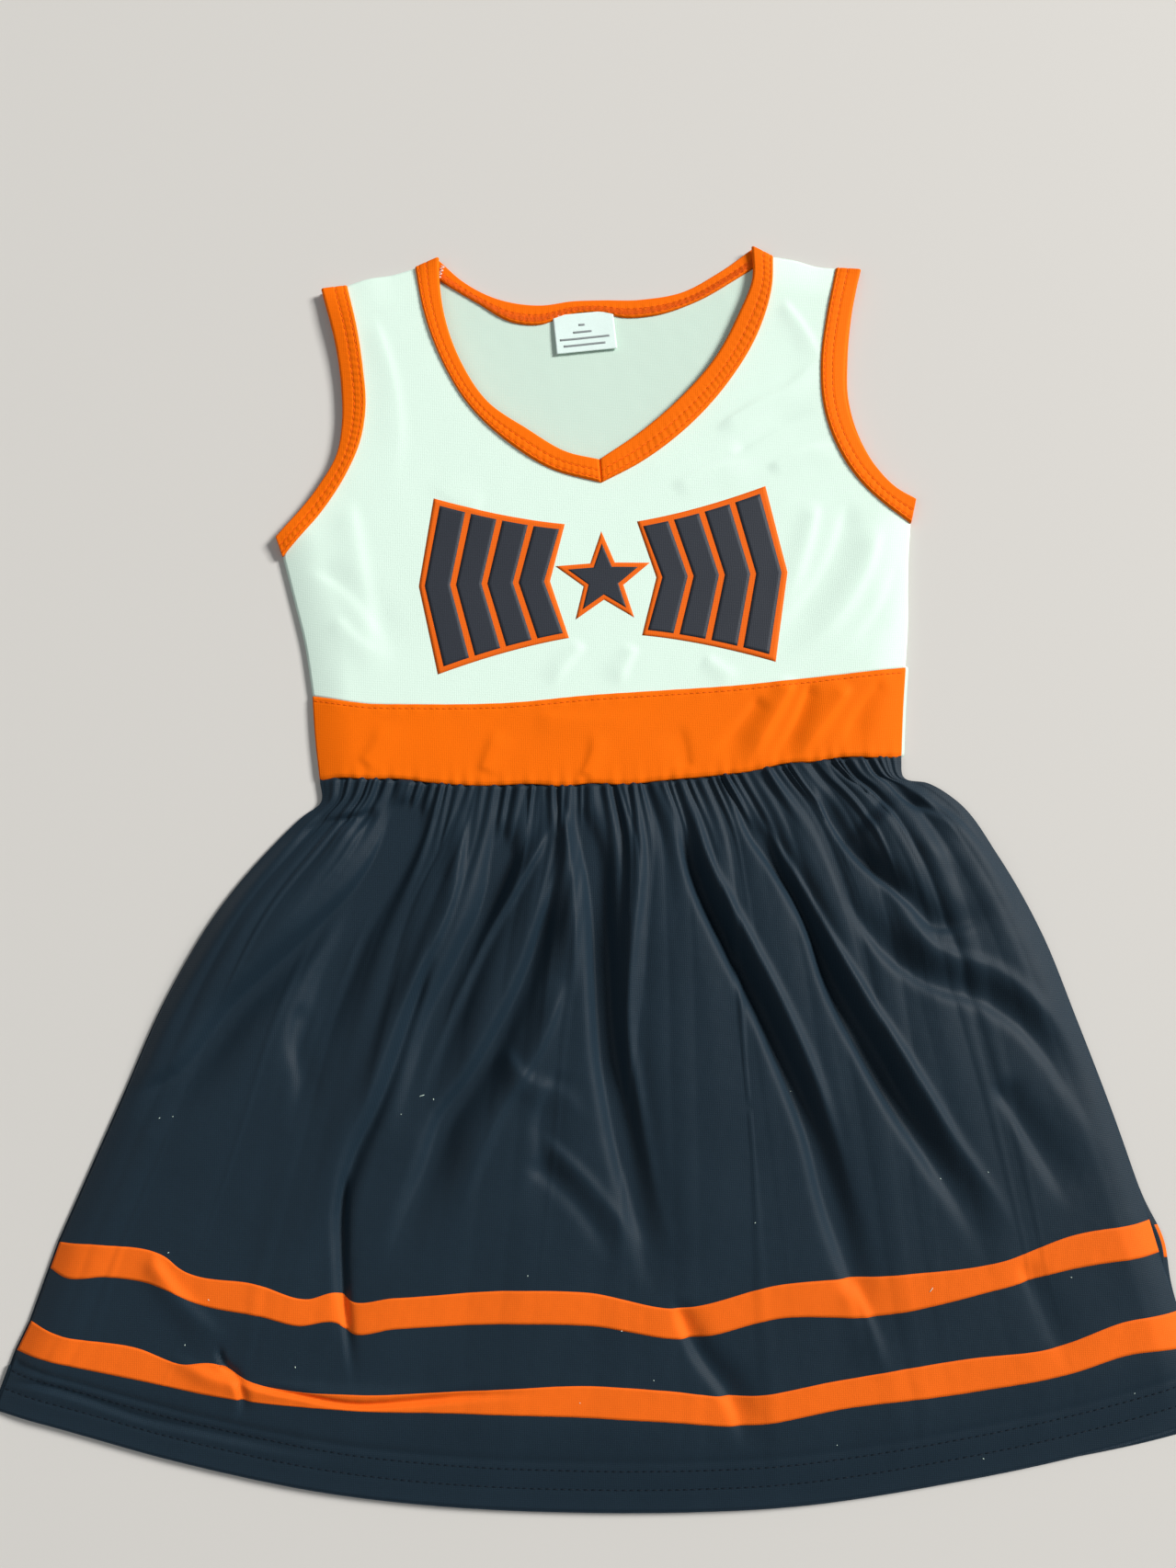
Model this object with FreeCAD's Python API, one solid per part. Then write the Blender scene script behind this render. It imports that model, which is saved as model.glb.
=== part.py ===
"""A child's sleeveless cheer dress, laid flat on its back with the front facing +Z.

Frame: +X to the right of a person looking down at the front, +Y towards the neck, +Z up from the surface.
The origin is the middle of the bounding box in X and Y, on the surface that the dress lies on. Millimetres.

The dress is two layers of cloth, the back at the bottom and the front GAP above it, joined along the
shoulders, the side seams and the bound edges. It stays open at the neck, the armholes and the hem.
The bodice is drawn in its own coordinates, with its centre line at zero, and then moved to BODICE_X.
"""

import FreeCAD
import Part
import math
import os

from FreeCAD import Vector

os.makedirs("parts", exist_ok=True)

# --- cloth and layers -------------------------------------------------------------------------------------
CLOTH = 0.8  # thickness of one panel
GAP = 7.0  # free height inside the dress
BINDING = 1.6  # thickness of a folded binding
THREAD_W = 0.6
THREAD_H = 0.25
EDGE_ROW = 1.8  # from a binding's seam to the nearer row of stitching, on the binding
ROW_PITCH = 3.8  # from there to the second row
BAND_ROW = 1.2  # from the waistband's top seam to its stitching
FILM = 0.25  # thickness of a printed layer
SEAM_WALL = 2.5  # width of a side seam, seen from above
BACK_Z = 0.0
FRONT_Z = BACK_Z + CLOTH + GAP
FRONT_TOP = FRONT_Z + CLOTH
BINDING_FRONT_Z = FRONT_TOP + 0.3 - BINDING

# --- bodice, right half, from the centre line --------------------------------------------------------------
BODICE_X = 16.0  # the bodice lies this far to the right of the middle of the hem
NECK_SHOULDER = (77.0, 291.0)
ARM_SHOULDER = (132.0, 276.0)
UNDERARM = (153.0, 156.0)
UNDERARM_SEAM = (150.0, 145.0)
NECK_FRONT = [(0, 184), (25, 197), (47, 214), (63, 235), (73, 259), NECK_SHOULDER]
NECK_BACK = [(0, 264), (27, 265), (45, 269), (62, 278), NECK_SHOULDER]
ARMHOLE = [ARM_SHOULDER, (124.5, 250), (121.5, 218), (127, 190), (138, 170), UNDERARM]
SIDE = [UNDERARM_SEAM, (144.5, 113), (139, 76), (136, 35)]
WAIST_ENDS_Y = 35.0
WAIST_MIDDLE_Y = 27.0
BAND_ENDS_Y = 76.5
BAND_MIDDLE_Y = 68.5
NECK_BINDING_FRONT = 11.5
NECK_BINDING_BACK = 8.5
ARM_BINDING = 12.0
SHOULDER_SEAM = 2.0  # depth of a shoulder seam along Y
SHOULDER_END = 14.0  # how far the armhole's fold runs in from the shoulder's outer end
SEAM_CLEAR = 1.0  # between a shoulder seam and the folds at its ends

# --- skirt, as it is laid ------------------------------------------------------------------------------------
JOINT_GAP = 0.6  # between the skirt and the bodice, so that the waist can fold
SKIRT_LEFT = [(-119.5, 25), (-140, 6), (-165, -22), (-190, -63), (-220, -132), (-250, -201), (-265, -237)]
SKIRT_RIGHT = [(151.5, 25), (170, 19), (186, -2), (209, -47), (233, -129), (255, -210), (265, -260)]
HEM = [SKIRT_LEFT[-1], (-191, -260), (-115, -277), (40, -291), (187, -278), SKIRT_RIGHT[-1]]
LOWER_STRIPE = (39.0, 52.0)  # from the hem's edge
UPPER_STRIPE = (78.0, 92.0)
HEM_DEPTH = 19.0
HEM_ROWS = (9.0, 17.0)
SEAM_ALLOWANCE = 7.0

# --- chest emblem ---------------------------------------------------------------------------------------------
EMBLEM_MIDDLE_Y = 124.5
EMBLEM_HALF_HEIGHTS = (23.5, 39.0)  # at the centre and at the ends
EMBLEM_HALF_WIDTH = 76.0
EMBLEM_KEYLINE = 2.8
CHEVRON_START = 20.0  # from the centre to the first chevron
CHEVRON_PITCH = 14.8
CHEVRON_COUNT = 4
CHEVRON_WIDTH = 12.0
CHEVRON_POINT = 8.0
STAR_RADIUS = 17.5
STAR_GROUND = 23.5
STAR_INNER = 0.42
PINCH = 1.6  # how fast the emblem grows from its middle to its ends

# --- size label -------------------------------------------------------------------------------------------------
LABEL_X = -4.5
LABEL_W = 28.0
LABEL_L = 18.0
LABEL_Z = 1.2
LABEL_FOLD = 1.0  # of the ribbon's length, closed at the bottom fold
LABEL_CLEAR = 0.5  # below the back binding
LABEL_LEAF = 0.3
LABEL_H = 0.9

FAR = 400.0  # past everything, for cutting shapes


# --- helpers ------------------------------------------------------------------------------------------------------
def curve(points):
    """A smooth edge through points."""
    spline = Part.BSplineCurve()
    spline.interpolate([Vector(x, y, 0) for x, y in points])
    return spline.toShape()


def lines(points):
    """Straight edges from point to point."""
    return [Part.makeLine(Vector(*a, 0), Vector(*b, 0)) for a, b in zip(points, points[1:])]


def sagging(half_width, ends_y, middle_y):
    """A shallow arc across the dress, lower in the middle."""
    ends = Vector(-half_width, ends_y, 0), Vector(half_width, ends_y, 0)
    return Part.Arc(ends[0], Vector(0, middle_y, 0), ends[1]).toShape()


def plate(edges, z, thickness):
    """The closed outline made by edges, as a plate."""
    outline = Part.Face(Part.Wire(Part.__sortEdges__(edges)))
    outline.translate(Vector(0, 0, z))
    solid = outline.extrude(Vector(0, 0, thickness))
    return solid


def mirrored(points):
    return [(-x, y) for x, y in points]


def beside(points, distance, extend):
    """Points along the curve through points, moved distance to its right, and run on past both ends."""
    edge = curve(points)
    first, last = edge.ParameterRange
    count = 3 * len(points)
    found = []
    for i in range(count + 1):
        at = first + (last - first) * i / count
        tangent = edge.tangentAt(at)
        place = edge.valueAt(at) + Vector(tangent.y, -tangent.x, 0) * distance
        found.append((place.x, place.y, tangent))
    start, end = found[0], found[-1]
    before = (start[0] - start[2].x * extend, start[1] - start[2].y * extend)
    after = (end[0] + end[2].x * extend, end[1] + end[2].y * extend)
    return before, [(x, y) for x, y, _ in found], after


def side_of(points, distance, corners, z, thickness, extend=25.0):
    """A plate on one side of the curve beside points, closed round corners."""
    before, along, after = beside(points, distance, extend)
    edges = [curve(along)] + lines([along[-1], after, *corners, before, along[0]])
    return plate(edges, z, thickness)


def band(points, near, far, z, thickness, extend=25.0):
    """A strip that runs beside points, from near to far away from them."""
    before_a, along_a, after_a = beside(points, near, extend)
    before_b, along_b, after_b = beside(points, far, extend)
    edges = [curve(along_a), curve(along_b)]
    edges += lines([along_a[-1], after_a, after_b, along_b[-1]])
    edges += lines([along_a[0], before_a, before_b, along_b[0]])
    return plate(edges, z, thickness)


def flip(shape):
    """The left-hand copy of a right-hand shape of the bodice."""
    return shape.mirror(Vector(0, 0, 0), Vector(1, 0, 0))


def both(shape):
    return [shape, flip(shape)]


def right_half(shape):
    return shape.common(Part.makeBox(FAR, 2 * FAR, 2 * FAR, Vector(0, -FAR, -FAR)))


def fused(shapes):
    whole = shapes[0].multiFuse(shapes[1:]) if len(shapes) > 1 else shapes[0]
    return whole.removeSplitter()


def cut(shape, *tools):
    for tool in tools:
        shape = shape.cut(tool)
    return shape


nodes = {}


def keep(name, shape, in_bodice=True):
    """Puts a shape into the model under its name, as one or more solids."""
    if in_bodice:
        shape = shape.translated(Vector(BODICE_X, 0, 0))
    solids = shape.Solids
    assert solids and all(s.isValid() and s.Volume > 0 for s in solids), name
    nodes[name] = solids[0] if len(solids) == 1 else Part.makeCompound(solids)


# --- bodice outlines -------------------------------------------------------------------------------------------------
def bodice_outline(neck, bottom, z, thickness):
    """The whole upper dress, out to its bound edges, from the neck down to bottom."""
    edges = [bottom]
    for turn in (list, mirrored):
        edges += [curve(turn(neck)), curve(turn(ARMHOLE)), curve(turn(SIDE))]
        edges += lines(turn([NECK_SHOULDER, ARM_SHOULDER])) + lines(turn([UNDERARM, UNDERARM_SEAM]))
    return plate(edges, z, thickness)


def neck_side(neck, width, z, thickness):
    """The right half of everything above the neck's seam."""
    low = neck[0][1] - FAR / 4
    corners = [(NECK_SHOULDER[0] + width, FAR), (-FAR / 4, FAR), (-FAR / 4, low)]
    return right_half(side_of(neck, width, corners, z, thickness))


def arm_side(z, thickness):
    """Everything outboard of the right armhole's seam."""
    corners = [(FAR, ARMHOLE[-1][1] - ARM_BINDING), (FAR, FAR), (ARM_SHOULDER[0], FAR)]
    return side_of(ARMHOLE, ARM_BINDING, corners, z, thickness)


WAIST = sagging(SIDE[-1][0], WAIST_ENDS_Y, WAIST_MIDDLE_Y)


def whole_bodice(neck, z, thickness):
    return bodice_outline(neck, WAIST, z, thickness)


def make_panels():
    """Front and back of the bodice, and the band across the front of the waist."""
    for name, neck, width, z in (
        ("bodice_front", NECK_FRONT, NECK_BINDING_FRONT, FRONT_Z),
        ("bodice_back", NECK_BACK, NECK_BINDING_BACK, BACK_Z),
    ):
        bound = both(neck_side(neck, width, z, CLOTH)) + both(arm_side(z, CLOTH))
        panel = cut(whole_bodice(neck, z, CLOTH), *bound)
        if name == "bodice_front":
            below = band_side(z, CLOTH)
            keep("waistband_front", panel.common(below))
            panel = panel.cut(below)
        keep(name, panel)


def band_side(z, thickness):
    """Everything below the seam between the white bodice and the waistband."""
    reach = SIDE[0][0] + 10
    rise = (BAND_ENDS_Y - BAND_MIDDLE_Y) * (reach / SIDE[-1][0]) ** 2
    top = sagging(reach, BAND_MIDDLE_Y + rise, BAND_MIDDLE_Y)
    corners = [(-reach, BAND_MIDDLE_Y + rise), (-reach, -FAR), (reach, -FAR), (reach, BAND_MIDDLE_Y + rise)]
    return plate([top] + lines(corners), z, thickness)


def make_neck_bindings():
    """Two front strips that meet in a mitre at the point of the neck, and one back strip with its folds."""
    front = whole_bodice(NECK_FRONT, BINDING_FRONT_Z, BINDING)
    right = front.common(neck_side(NECK_FRONT, NECK_BINDING_FRONT, BINDING_FRONT_Z, BINDING))
    keep("neck_binding_front_right", right)
    keep("neck_binding_front_left", flip(right))
    strip = whole_bodice(NECK_BACK, BACK_Z, BINDING)
    strip = strip.common(fused(both(neck_side(NECK_BACK, NECK_BINDING_BACK, BACK_Z, BINDING))))
    keep("neck_binding_back", fused([strip, *neck_folds()]))


def neck_folds():
    """Where the back strip turns up at the shoulders to meet the front ones."""
    z = BACK_Z + CLOTH
    return both(shoulder_fold(0.0, NECK_BINDING_FRONT, z, BINDING_FRONT_Z - z))


def shoulder_fold(start, end, z, height):
    """A wall along the right shoulder's edge, from start to end away from the neck."""
    run = Vector(ARM_SHOULDER[0] - NECK_SHOULDER[0], ARM_SHOULDER[1] - NECK_SHOULDER[1], 0)
    run.normalize()
    top = Vector(*NECK_SHOULDER, 0)
    depth = Vector(0, -SHOULDER_SEAM, 0)
    corners = [top + run * start, top + run * end, top + run * end + depth, top + run * start + depth]
    corners = [(c.x, c.y) for c in corners]
    return plate(lines(corners + corners[:1]), z, height)


def make_armhole_bindings():
    """One closed loop each: a front strip, a back strip, the fold over the shoulder and the underarm end."""
    height = BINDING_FRONT_Z + BINDING - BACK_Z
    column = whole_bodice(NECK_BACK, BACK_Z, height).common(arm_side(BACK_Z, height))
    hollow_z = BACK_Z + BINDING
    hollow_h = BINDING_FRONT_Z - hollow_z
    inside = column.common(Part.makeBox(FAR, 2 * FAR, hollow_h, Vector(0, -FAR, hollow_z)))
    width = math.dist(NECK_SHOULDER, ARM_SHOULDER)
    fold = shoulder_fold(width - SHOULDER_END, width, hollow_z, hollow_h)
    inner_end = [(x - SEAM_WALL, y) for x, y in (UNDERARM_SEAM, UNDERARM)]
    end = plate(lines([UNDERARM, UNDERARM_SEAM, *inner_end, UNDERARM]), hollow_z, hollow_h)
    walls = fused([fold, end]).common(column)
    loop = fused([column.cut(inside), walls])
    keep("armhole_binding_right", loop)
    keep("armhole_binding_left", flip(loop))


def make_bodice_seams():
    """The seams that hold the front to the back: shoulders, sides, and the turned-in edge at the waist."""
    start = NECK_BINDING_FRONT
    end = math.dist(NECK_SHOULDER, ARM_SHOULDER) - SHOULDER_END
    shoulder = shoulder_fold(start + SEAM_CLEAR, end - SEAM_CLEAR, BACK_Z + CLOTH, GAP)
    keep("shoulder_seam_right", shoulder)
    keep("shoulder_seam_left", flip(shoulder))
    side = seam_wall(SIDE, -SEAM_WALL).cut(arm_side(BACK_Z, FRONT_TOP))
    keep("bodice_side_seam_right", side)
    keep("bodice_side_seam_left", flip(side))
    inner = whole_bodice(NECK_BACK, 0, CLOTH)
    inner = cut(inner, *[wall.translated(Vector(0, 0, -CLOTH)) for wall in both(side)])
    low = plate([WAIST, WAIST.translated(Vector(0, SEAM_ALLOWANCE, 0))] + side_lines(), 0, CLOTH)
    allowance = inner.common(low)
    keep("waist_seam_front", allowance.translated(Vector(0, 0, FRONT_Z - CLOTH)))
    keep("waist_seam_back", allowance.translated(Vector(0, 0, BACK_Z + CLOTH)))


def side_lines():
    """The short upright ends of the strip above the waist seam."""
    x = SIDE[-1][0]
    ends = [lines([(s * x, WAIST_ENDS_Y), (s * x, WAIST_ENDS_Y + SEAM_ALLOWANCE)]) for s in (-1, 1)]
    return ends[0] + ends[1]


def seam_wall(points, width):
    """A wall between the layers, along the curve through points and width wide in X."""
    moved = [(x + width, y) for x, y in points]
    edges = [curve(points), curve(moved)] + lines([points[0], moved[0]]) + lines([points[-1], moved[-1]])
    return plate(edges, BACK_Z + CLOTH, GAP)


# --- skirt ------------------------------------------------------------------------------------------------------------
def skirt_top():
    """The edge that is gathered into the waist, in the dress's own coordinates."""
    return WAIST.translated(Vector(BODICE_X, -JOINT_GAP, 0))


def skirt_plate(z, thickness):
    top = skirt_top()
    ends = sorted(((v.X, v.Y) for v in top.Vertexes))
    edges = [top, curve(SKIRT_LEFT), curve(SKIRT_RIGHT), curve(HEM)]
    edges += lines([ends[0], SKIRT_LEFT[0]]) + lines([ends[1], SKIRT_RIGHT[0]])
    return plate(edges, z, thickness)


def above_hem(low, high, z, thickness):
    """A strip across the skirt, from low to high above the hem's edge."""
    wide = [(-FAR, HEM[0][1]), (FAR, HEM[-1][1])]
    edges = []
    for rise in (low, high):
        points = [(x, y + rise) for x, y in HEM]
        ends = [(x, y + rise) for x, y in wide]
        edges += [curve(points)] + lines([ends[0], points[0]]) + lines([points[-1], ends[1]])
    for x, y in wide:
        edges += lines([(x, y + low), (x, y + high)])
    return plate(edges, z, thickness).common(skirt_plate(z, thickness))


def make_skirt():
    """Two panels with printed stripes, the turned-up hems inside them, and the side seams."""
    walls = []
    for name, points, width in (("left", SKIRT_LEFT, SEAM_WALL), ("right", SKIRT_RIGHT, -SEAM_WALL)):
        walls.append(seam_wall(points, width))
        keep(f"skirt_side_seam_{name}", walls[-1].common(skirt_plate(BACK_Z + CLOTH, GAP)), in_bodice=False)
    for side, z, face_z, hem_z in (
        ("front", FRONT_Z, FRONT_TOP - FILM, FRONT_Z - CLOTH),
        ("back", BACK_Z, BACK_Z, BACK_Z + CLOTH),
    ):
        stripes = {}
        for name, (low, high) in (("lower", LOWER_STRIPE), ("upper", UPPER_STRIPE)):
            stripes[name] = above_hem(low, high, face_z, FILM)
            keep(f"{name}_stripe_{side}", stripes[name], in_bodice=False)
        keep(f"skirt_{side}", cut(skirt_plate(z, CLOTH), *stripes.values()), in_bodice=False)
        keep(f"hem_{side}", cut(above_hem(0.0, HEM_DEPTH, hem_z, CLOTH), *walls), in_bodice=False)


# --- stitching --------------------------------------------------------------------------------------------------------
def thread_rows(points, rows, z):
    """Rows of stitching beside points, as thin raised lines."""
    return [band(points, row, row + THREAD_W, z, THREAD_H) for row in rows]


def make_stitching():
    """Each seam's visible thread, a row for each needle."""
    front_rows, back_rows, arm_rows = (
        (width - EDGE_ROW, width - EDGE_ROW - ROW_PITCH)
        for width in (NECK_BINDING_FRONT, NECK_BINDING_BACK, ARM_BINDING)
    )
    top_z = BINDING_FRONT_Z + BINDING
    inner_z = BACK_Z + BINDING
    for name, neck, rows, z in (
        ("neck_stitching_front", NECK_FRONT, front_rows, top_z),
        ("neck_stitching_back", NECK_BACK, back_rows, inner_z),
    ):
        limit = cut(whole_bodice(neck, z, THREAD_H), *neck_folds())
        threads = [right_half(row).common(limit) for row in thread_rows(neck, rows, z)]
        keep(name, Part.makeCompound([fused(both(t)) for t in threads]))
    limit = whole_bodice(NECK_BACK, 0, 2 * FRONT_TOP)
    threads = thread_rows(ARMHOLE, arm_rows, top_z) + thread_rows(ARMHOLE, arm_rows, inner_z)
    keepers = [t.common(limit) for t in threads[: len(arm_rows)]]
    inner_limit = cut(limit, *inner_ends())
    keepers += [t.common(inner_limit) for t in threads[len(arm_rows):]]
    keep("armhole_stitching_right", Part.makeCompound(keepers))
    keep("armhole_stitching_left", Part.makeCompound([flip(t) for t in keepers]))
    seam = band_side(FRONT_TOP, THREAD_H)
    row = seam.translated(Vector(0, -BAND_ROW, 0)).cut(seam.translated(Vector(0, -BAND_ROW - THREAD_W, 0)))
    keep("waistband_stitching", row.common(whole_bodice(NECK_BACK, FRONT_TOP, THREAD_H)))
    for side, z in (("front", FRONT_TOP), ("back", BACK_Z + 2 * CLOTH)):
        threads = [above_hem(row, row + THREAD_W, z, THREAD_H) for row in HEM_ROWS]
        if side == "back":
            walls = [seam_wall(SKIRT_LEFT, SEAM_WALL), seam_wall(SKIRT_RIGHT, -SEAM_WALL)]
            threads = [cut(t, *walls) for t in threads]
        keep(f"hem_stitching_{side}", Part.makeCompound(threads), in_bodice=False)


def inner_ends():
    """Blocks over the right armhole binding's two closed ends, where no inside row of stitching goes."""
    shoulder = Part.makeBox(60, 40, FRONT_Z, Vector(ARM_SHOULDER[0] - 40, ARM_SHOULDER[1] - 6, 0))
    underarm = Part.makeBox(20, 20, FRONT_Z, Vector(UNDERARM[0] - 9, UNDERARM_SEAM[1] - 5, 0))
    return [shoulder, underarm]


# --- emblem and label ---------------------------------------------------------------------------------------------------
def half_height(x):
    """Half the emblem's height at x: low in the middle and tall at the ends."""
    low, high = EMBLEM_HALF_HEIGHTS
    return low + (high - low) * (abs(x) / EMBLEM_HALF_WIDTH) ** PINCH


def polygon(points, z, thickness):
    return plate(lines(points + points[:1]), z, thickness)


def chevron(start, end, grow, z, thickness):
    """A bar from start to end that points away from the centre, grow larger all round."""
    middle = EMBLEM_MIDDLE_Y
    count = max(1, round((end - start) / CHEVRON_PITCH))
    stations = [start - grow + (end - start + 2 * grow) * i / count for i in range(count + 1)]
    top = [(x, middle + half_height(x) + grow) for x in stations]
    low = [(x, 2 * middle - y) for x, y in top]
    tip = (stations[-1] + CHEVRON_POINT, middle)
    notch = (stations[0] + CHEVRON_POINT, middle)
    return polygon([*top, tip, *reversed(low), notch], z, thickness)


def star(radius, z, thickness):
    points = []
    for i in range(10):
        reach = radius * (1 if i % 2 == 0 else STAR_INNER)
        turn = math.pi / 2 + i * math.pi / 5
        points.append((reach * math.cos(turn), EMBLEM_MIDDLE_Y + reach * math.sin(turn)))
    return polygon(points, z, thickness)


def make_emblem():
    """Navy chevrons and a star, each group on its own orange ground that shows all round it."""
    starts = [CHEVRON_START + i * CHEVRON_PITCH for i in range(CHEVRON_COUNT)]
    group = chevron(starts[0], starts[-1] + CHEVRON_WIDTH, EMBLEM_KEYLINE, FRONT_TOP, FILM)
    ground = [star(STAR_GROUND, FRONT_TOP, FILM), *both(group)]
    keep("emblem_ground", Part.makeCompound(ground))
    z = FRONT_TOP + FILM
    bars = [chevron(start, start + CHEVRON_WIDTH, 0.0, z, FILM) for start in starts]
    keep("emblem_chevrons", Part.makeCompound(bars + [flip(b) for b in bars]))
    keep("emblem_star", star(STAR_RADIUS, z, FILM))


def make_label():
    """A ribbon folded in two, hanging from the back of the neck on its seam."""
    top = NECK_BACK[0][1] - NECK_BINDING_BACK - LABEL_CLEAR
    corner = Vector(LABEL_X - LABEL_W / 2, top - LABEL_L, LABEL_Z)
    ribbon = Part.makeBox(LABEL_W, LABEL_L, LABEL_H, corner)
    slot = Part.makeBox(LABEL_W, LABEL_L, LABEL_H - 2 * LABEL_LEAF, corner + Vector(0, LABEL_FOLD, LABEL_LEAF))
    keep("size_label", ribbon.cut(slot))


make_panels()
make_neck_bindings()
make_armhole_bindings()
make_bodice_seams()
make_skirt()
make_stitching()
make_emblem()
make_label()

for name, shape in nodes.items():
    shape.exportStep(f"parts/{name}.step")
box = Part.makeCompound(list(nodes.values())).optimalBoundingBox()
print(f"{len(nodes)} nodes, x {box.XMin:.2f} to {box.XMax:.2f}, y {box.YMin:.2f} to {box.YMax:.2f}")
print(f"z {box.ZMin:.2f} to {box.ZMax:.2f}, volume {sum(s.Volume for s in nodes.values()) / 1000:.1f} cm3")
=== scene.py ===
import math

import bpy
import numpy as np
from mathutils import Matrix, Vector


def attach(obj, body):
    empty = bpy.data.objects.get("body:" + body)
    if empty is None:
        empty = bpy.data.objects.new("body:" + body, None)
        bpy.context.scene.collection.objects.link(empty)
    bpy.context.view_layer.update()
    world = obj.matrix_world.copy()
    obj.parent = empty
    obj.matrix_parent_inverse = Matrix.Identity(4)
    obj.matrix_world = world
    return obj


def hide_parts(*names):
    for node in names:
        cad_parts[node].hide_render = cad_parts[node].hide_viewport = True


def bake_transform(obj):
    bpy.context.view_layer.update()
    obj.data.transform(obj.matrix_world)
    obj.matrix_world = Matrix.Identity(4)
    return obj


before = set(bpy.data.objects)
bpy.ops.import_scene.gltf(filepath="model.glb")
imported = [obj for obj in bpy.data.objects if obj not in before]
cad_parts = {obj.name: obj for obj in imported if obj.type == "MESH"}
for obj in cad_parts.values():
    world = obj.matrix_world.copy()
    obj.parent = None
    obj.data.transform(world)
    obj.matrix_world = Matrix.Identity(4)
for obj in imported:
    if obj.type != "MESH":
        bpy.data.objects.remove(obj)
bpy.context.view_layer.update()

# A child's cheer dress, laid face up. Lengths are millimetres in the row frame, until a mesh is made.
MM = 0.001

# --- outlines, seen from above, from left to right or from bottom to top ---
CENTRE_X = 16.5  # of the bodice, which lies a little to the right of the hem's middle
NECK_EDGE_LEFT = [
    (16.5, 184), (2, 188), (-18, 201), (-36, 215), (-49, 237), (-56, 260), (-58, 279), (-58, 290),
]
NECK_EDGE_RIGHT = [(16.5, 184), (38, 198), (56, 213), (75, 234), (87, 255), (95, 274), (95.5, 290)]
NECK_SEAM_LEFT = [(17, 172), (-7, 180), (-27, 194), (-45, 213), (-58, 237), (-66, 262), (-70, 286)]
NECK_SEAM_RIGHT = [(17, 172), (37, 182), (59, 198), (80, 220), (96, 245), (104, 268), (106, 285)]
BACK_EDGE = [
    (-58, 290), (-47, 279), (-30, 269), (-8, 265), (6, 266.5), (22, 266.5), (39, 266), (60, 269),
    (78, 278), (95.5, 290),
]
BACK_SEAM = [
    (-62, 282), (-40, 267), (-22, 256), (-8, 255), (-2, 257), (6, 259.4), (14, 260.1), (22, 259.3),
    (30, 257), (44, 257), (68, 264), (88, 275), (101, 283),
]
ARM_EDGE_LEFT = [
    (-139, 152), (-128, 164), (-118, 177), (-110, 191), (-107, 207), (-107, 225), (-109, 244),
    (-116, 276),
]
ARM_SEAM_LEFT = [
    (-136, 142), (-116, 164), (-105, 181), (-98, 197), (-95, 215), (-96, 234), (-99, 257), (-103.5, 278),
]
ARM_EDGE_RIGHT = [
    (167, 159), (159, 164), (149, 176), (141, 192), (137, 211), (138, 230), (142, 253), (148.5, 276),
]
ARM_SEAM_RIGHT = [
    (164, 147), (152, 156), (140, 169), (130, 188), (125.5, 207), (125.5, 228), (130, 253), (136.5, 278),
]
SHOULDER_LEFT = [(-103.5, 278), (-93, 281.6), (-82, 283), (-70, 286.5)]
SHOULDER_RIGHT = [(136.5, 278), (127, 279.4), (117, 283), (106, 285.5)]
SIDE_LEFT = [(-122.5, 74), (-126, 99), (-131, 121), (-136, 142)]
SIDE_RIGHT = [(156.5, 77), (159, 96), (160.5, 116), (162, 132), (164, 147)]
BAND_END_LEFT = [(-119.5, 34), (-121.5, 55), (-122.5, 74)]
BAND_END_RIGHT = [(151.5, 35), (154, 58), (156.5, 77)]
BAND_TOP = [
    (-122.5, 74), (-96, 69), (-78, 68), (-27, 67), (6, 69), (41, 70), (75, 71), (106, 73), (145, 76),
    (156.5, 77),
]
WAIST = [
    (-119.5, 34), (-96, 34), (-71, 31), (-28, 28), (5, 27), (31, 27), (57, 28), (82, 31), (108, 34),
    (151.5, 35),
]
SKIRT_LEFT = [
    (-119.5, 34), (-119, 24), (-127, 18), (-140, 6), (-165, -22), (-190, -63), (-210, -108), (-228, -148),
    (-237, -168),
]
SKIRT_RIGHT = [
    (151.5, 35), (152, 25), (163, 22), (176, 13), (193, -13), (209, -47), (222, -88), (236, -135),
    (247, -177),
]
UPPER_STRIPE_TOP = [
    (-237, -168), (-215, -169), (-188, -175), (-182, -180), (-148, -188), (-126, -195), (-112.5, -193.4),
    (-109.5, -195.8), (-88, -196), (-36, -195), (-4, -197), (34, -205), (81, -197), (132, -195),
    (178, -191), (211, -181), (247, -177),
]
UPPER_STRIPE_LOW = [
    (-241, -179), (-233, -182.4), (-215, -182.5), (-187, -188.5), (-176, -194.3), (-145, -202),
    (-131, -206), (-112.5, -206.4), (-109.5, -209.2), (-88, -209), (-36, -209), (-4, -211), (40, -218),
    (81, -211), (120, -212), (174, -203), (211, -195), (250, -191),
]
LOWER_STRIPE_TOP = [
    (-249, -201), (-235, -206), (-199, -213), (-183, -219.5), (-165, -221), (-157, -226), (-147, -230),
    (-107, -235), (-61, -236), (-4, -236), (28, -239), (58, -243), (102, -238), (160, -231), (198, -228),
    (232, -218), (256, -216),
]
LOWER_STRIPE_LOW = [
    (-255, -213), (-204, -225), (-161, -235), (-107, -242), (-61, -245), (-5, -249), (28, -252),
    (58, -255), (110, -249), (160, -245), (204, -239), (232, -232), (260, -231),
]
HEM = [
    (-264, -237), (-237, -245), (-191, -259), (-115, -277), (-44, -286), (-6, -288.5), (41, -290),
    (89, -289), (138, -284), (187, -277), (230, -269), (264, -261),
]

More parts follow.
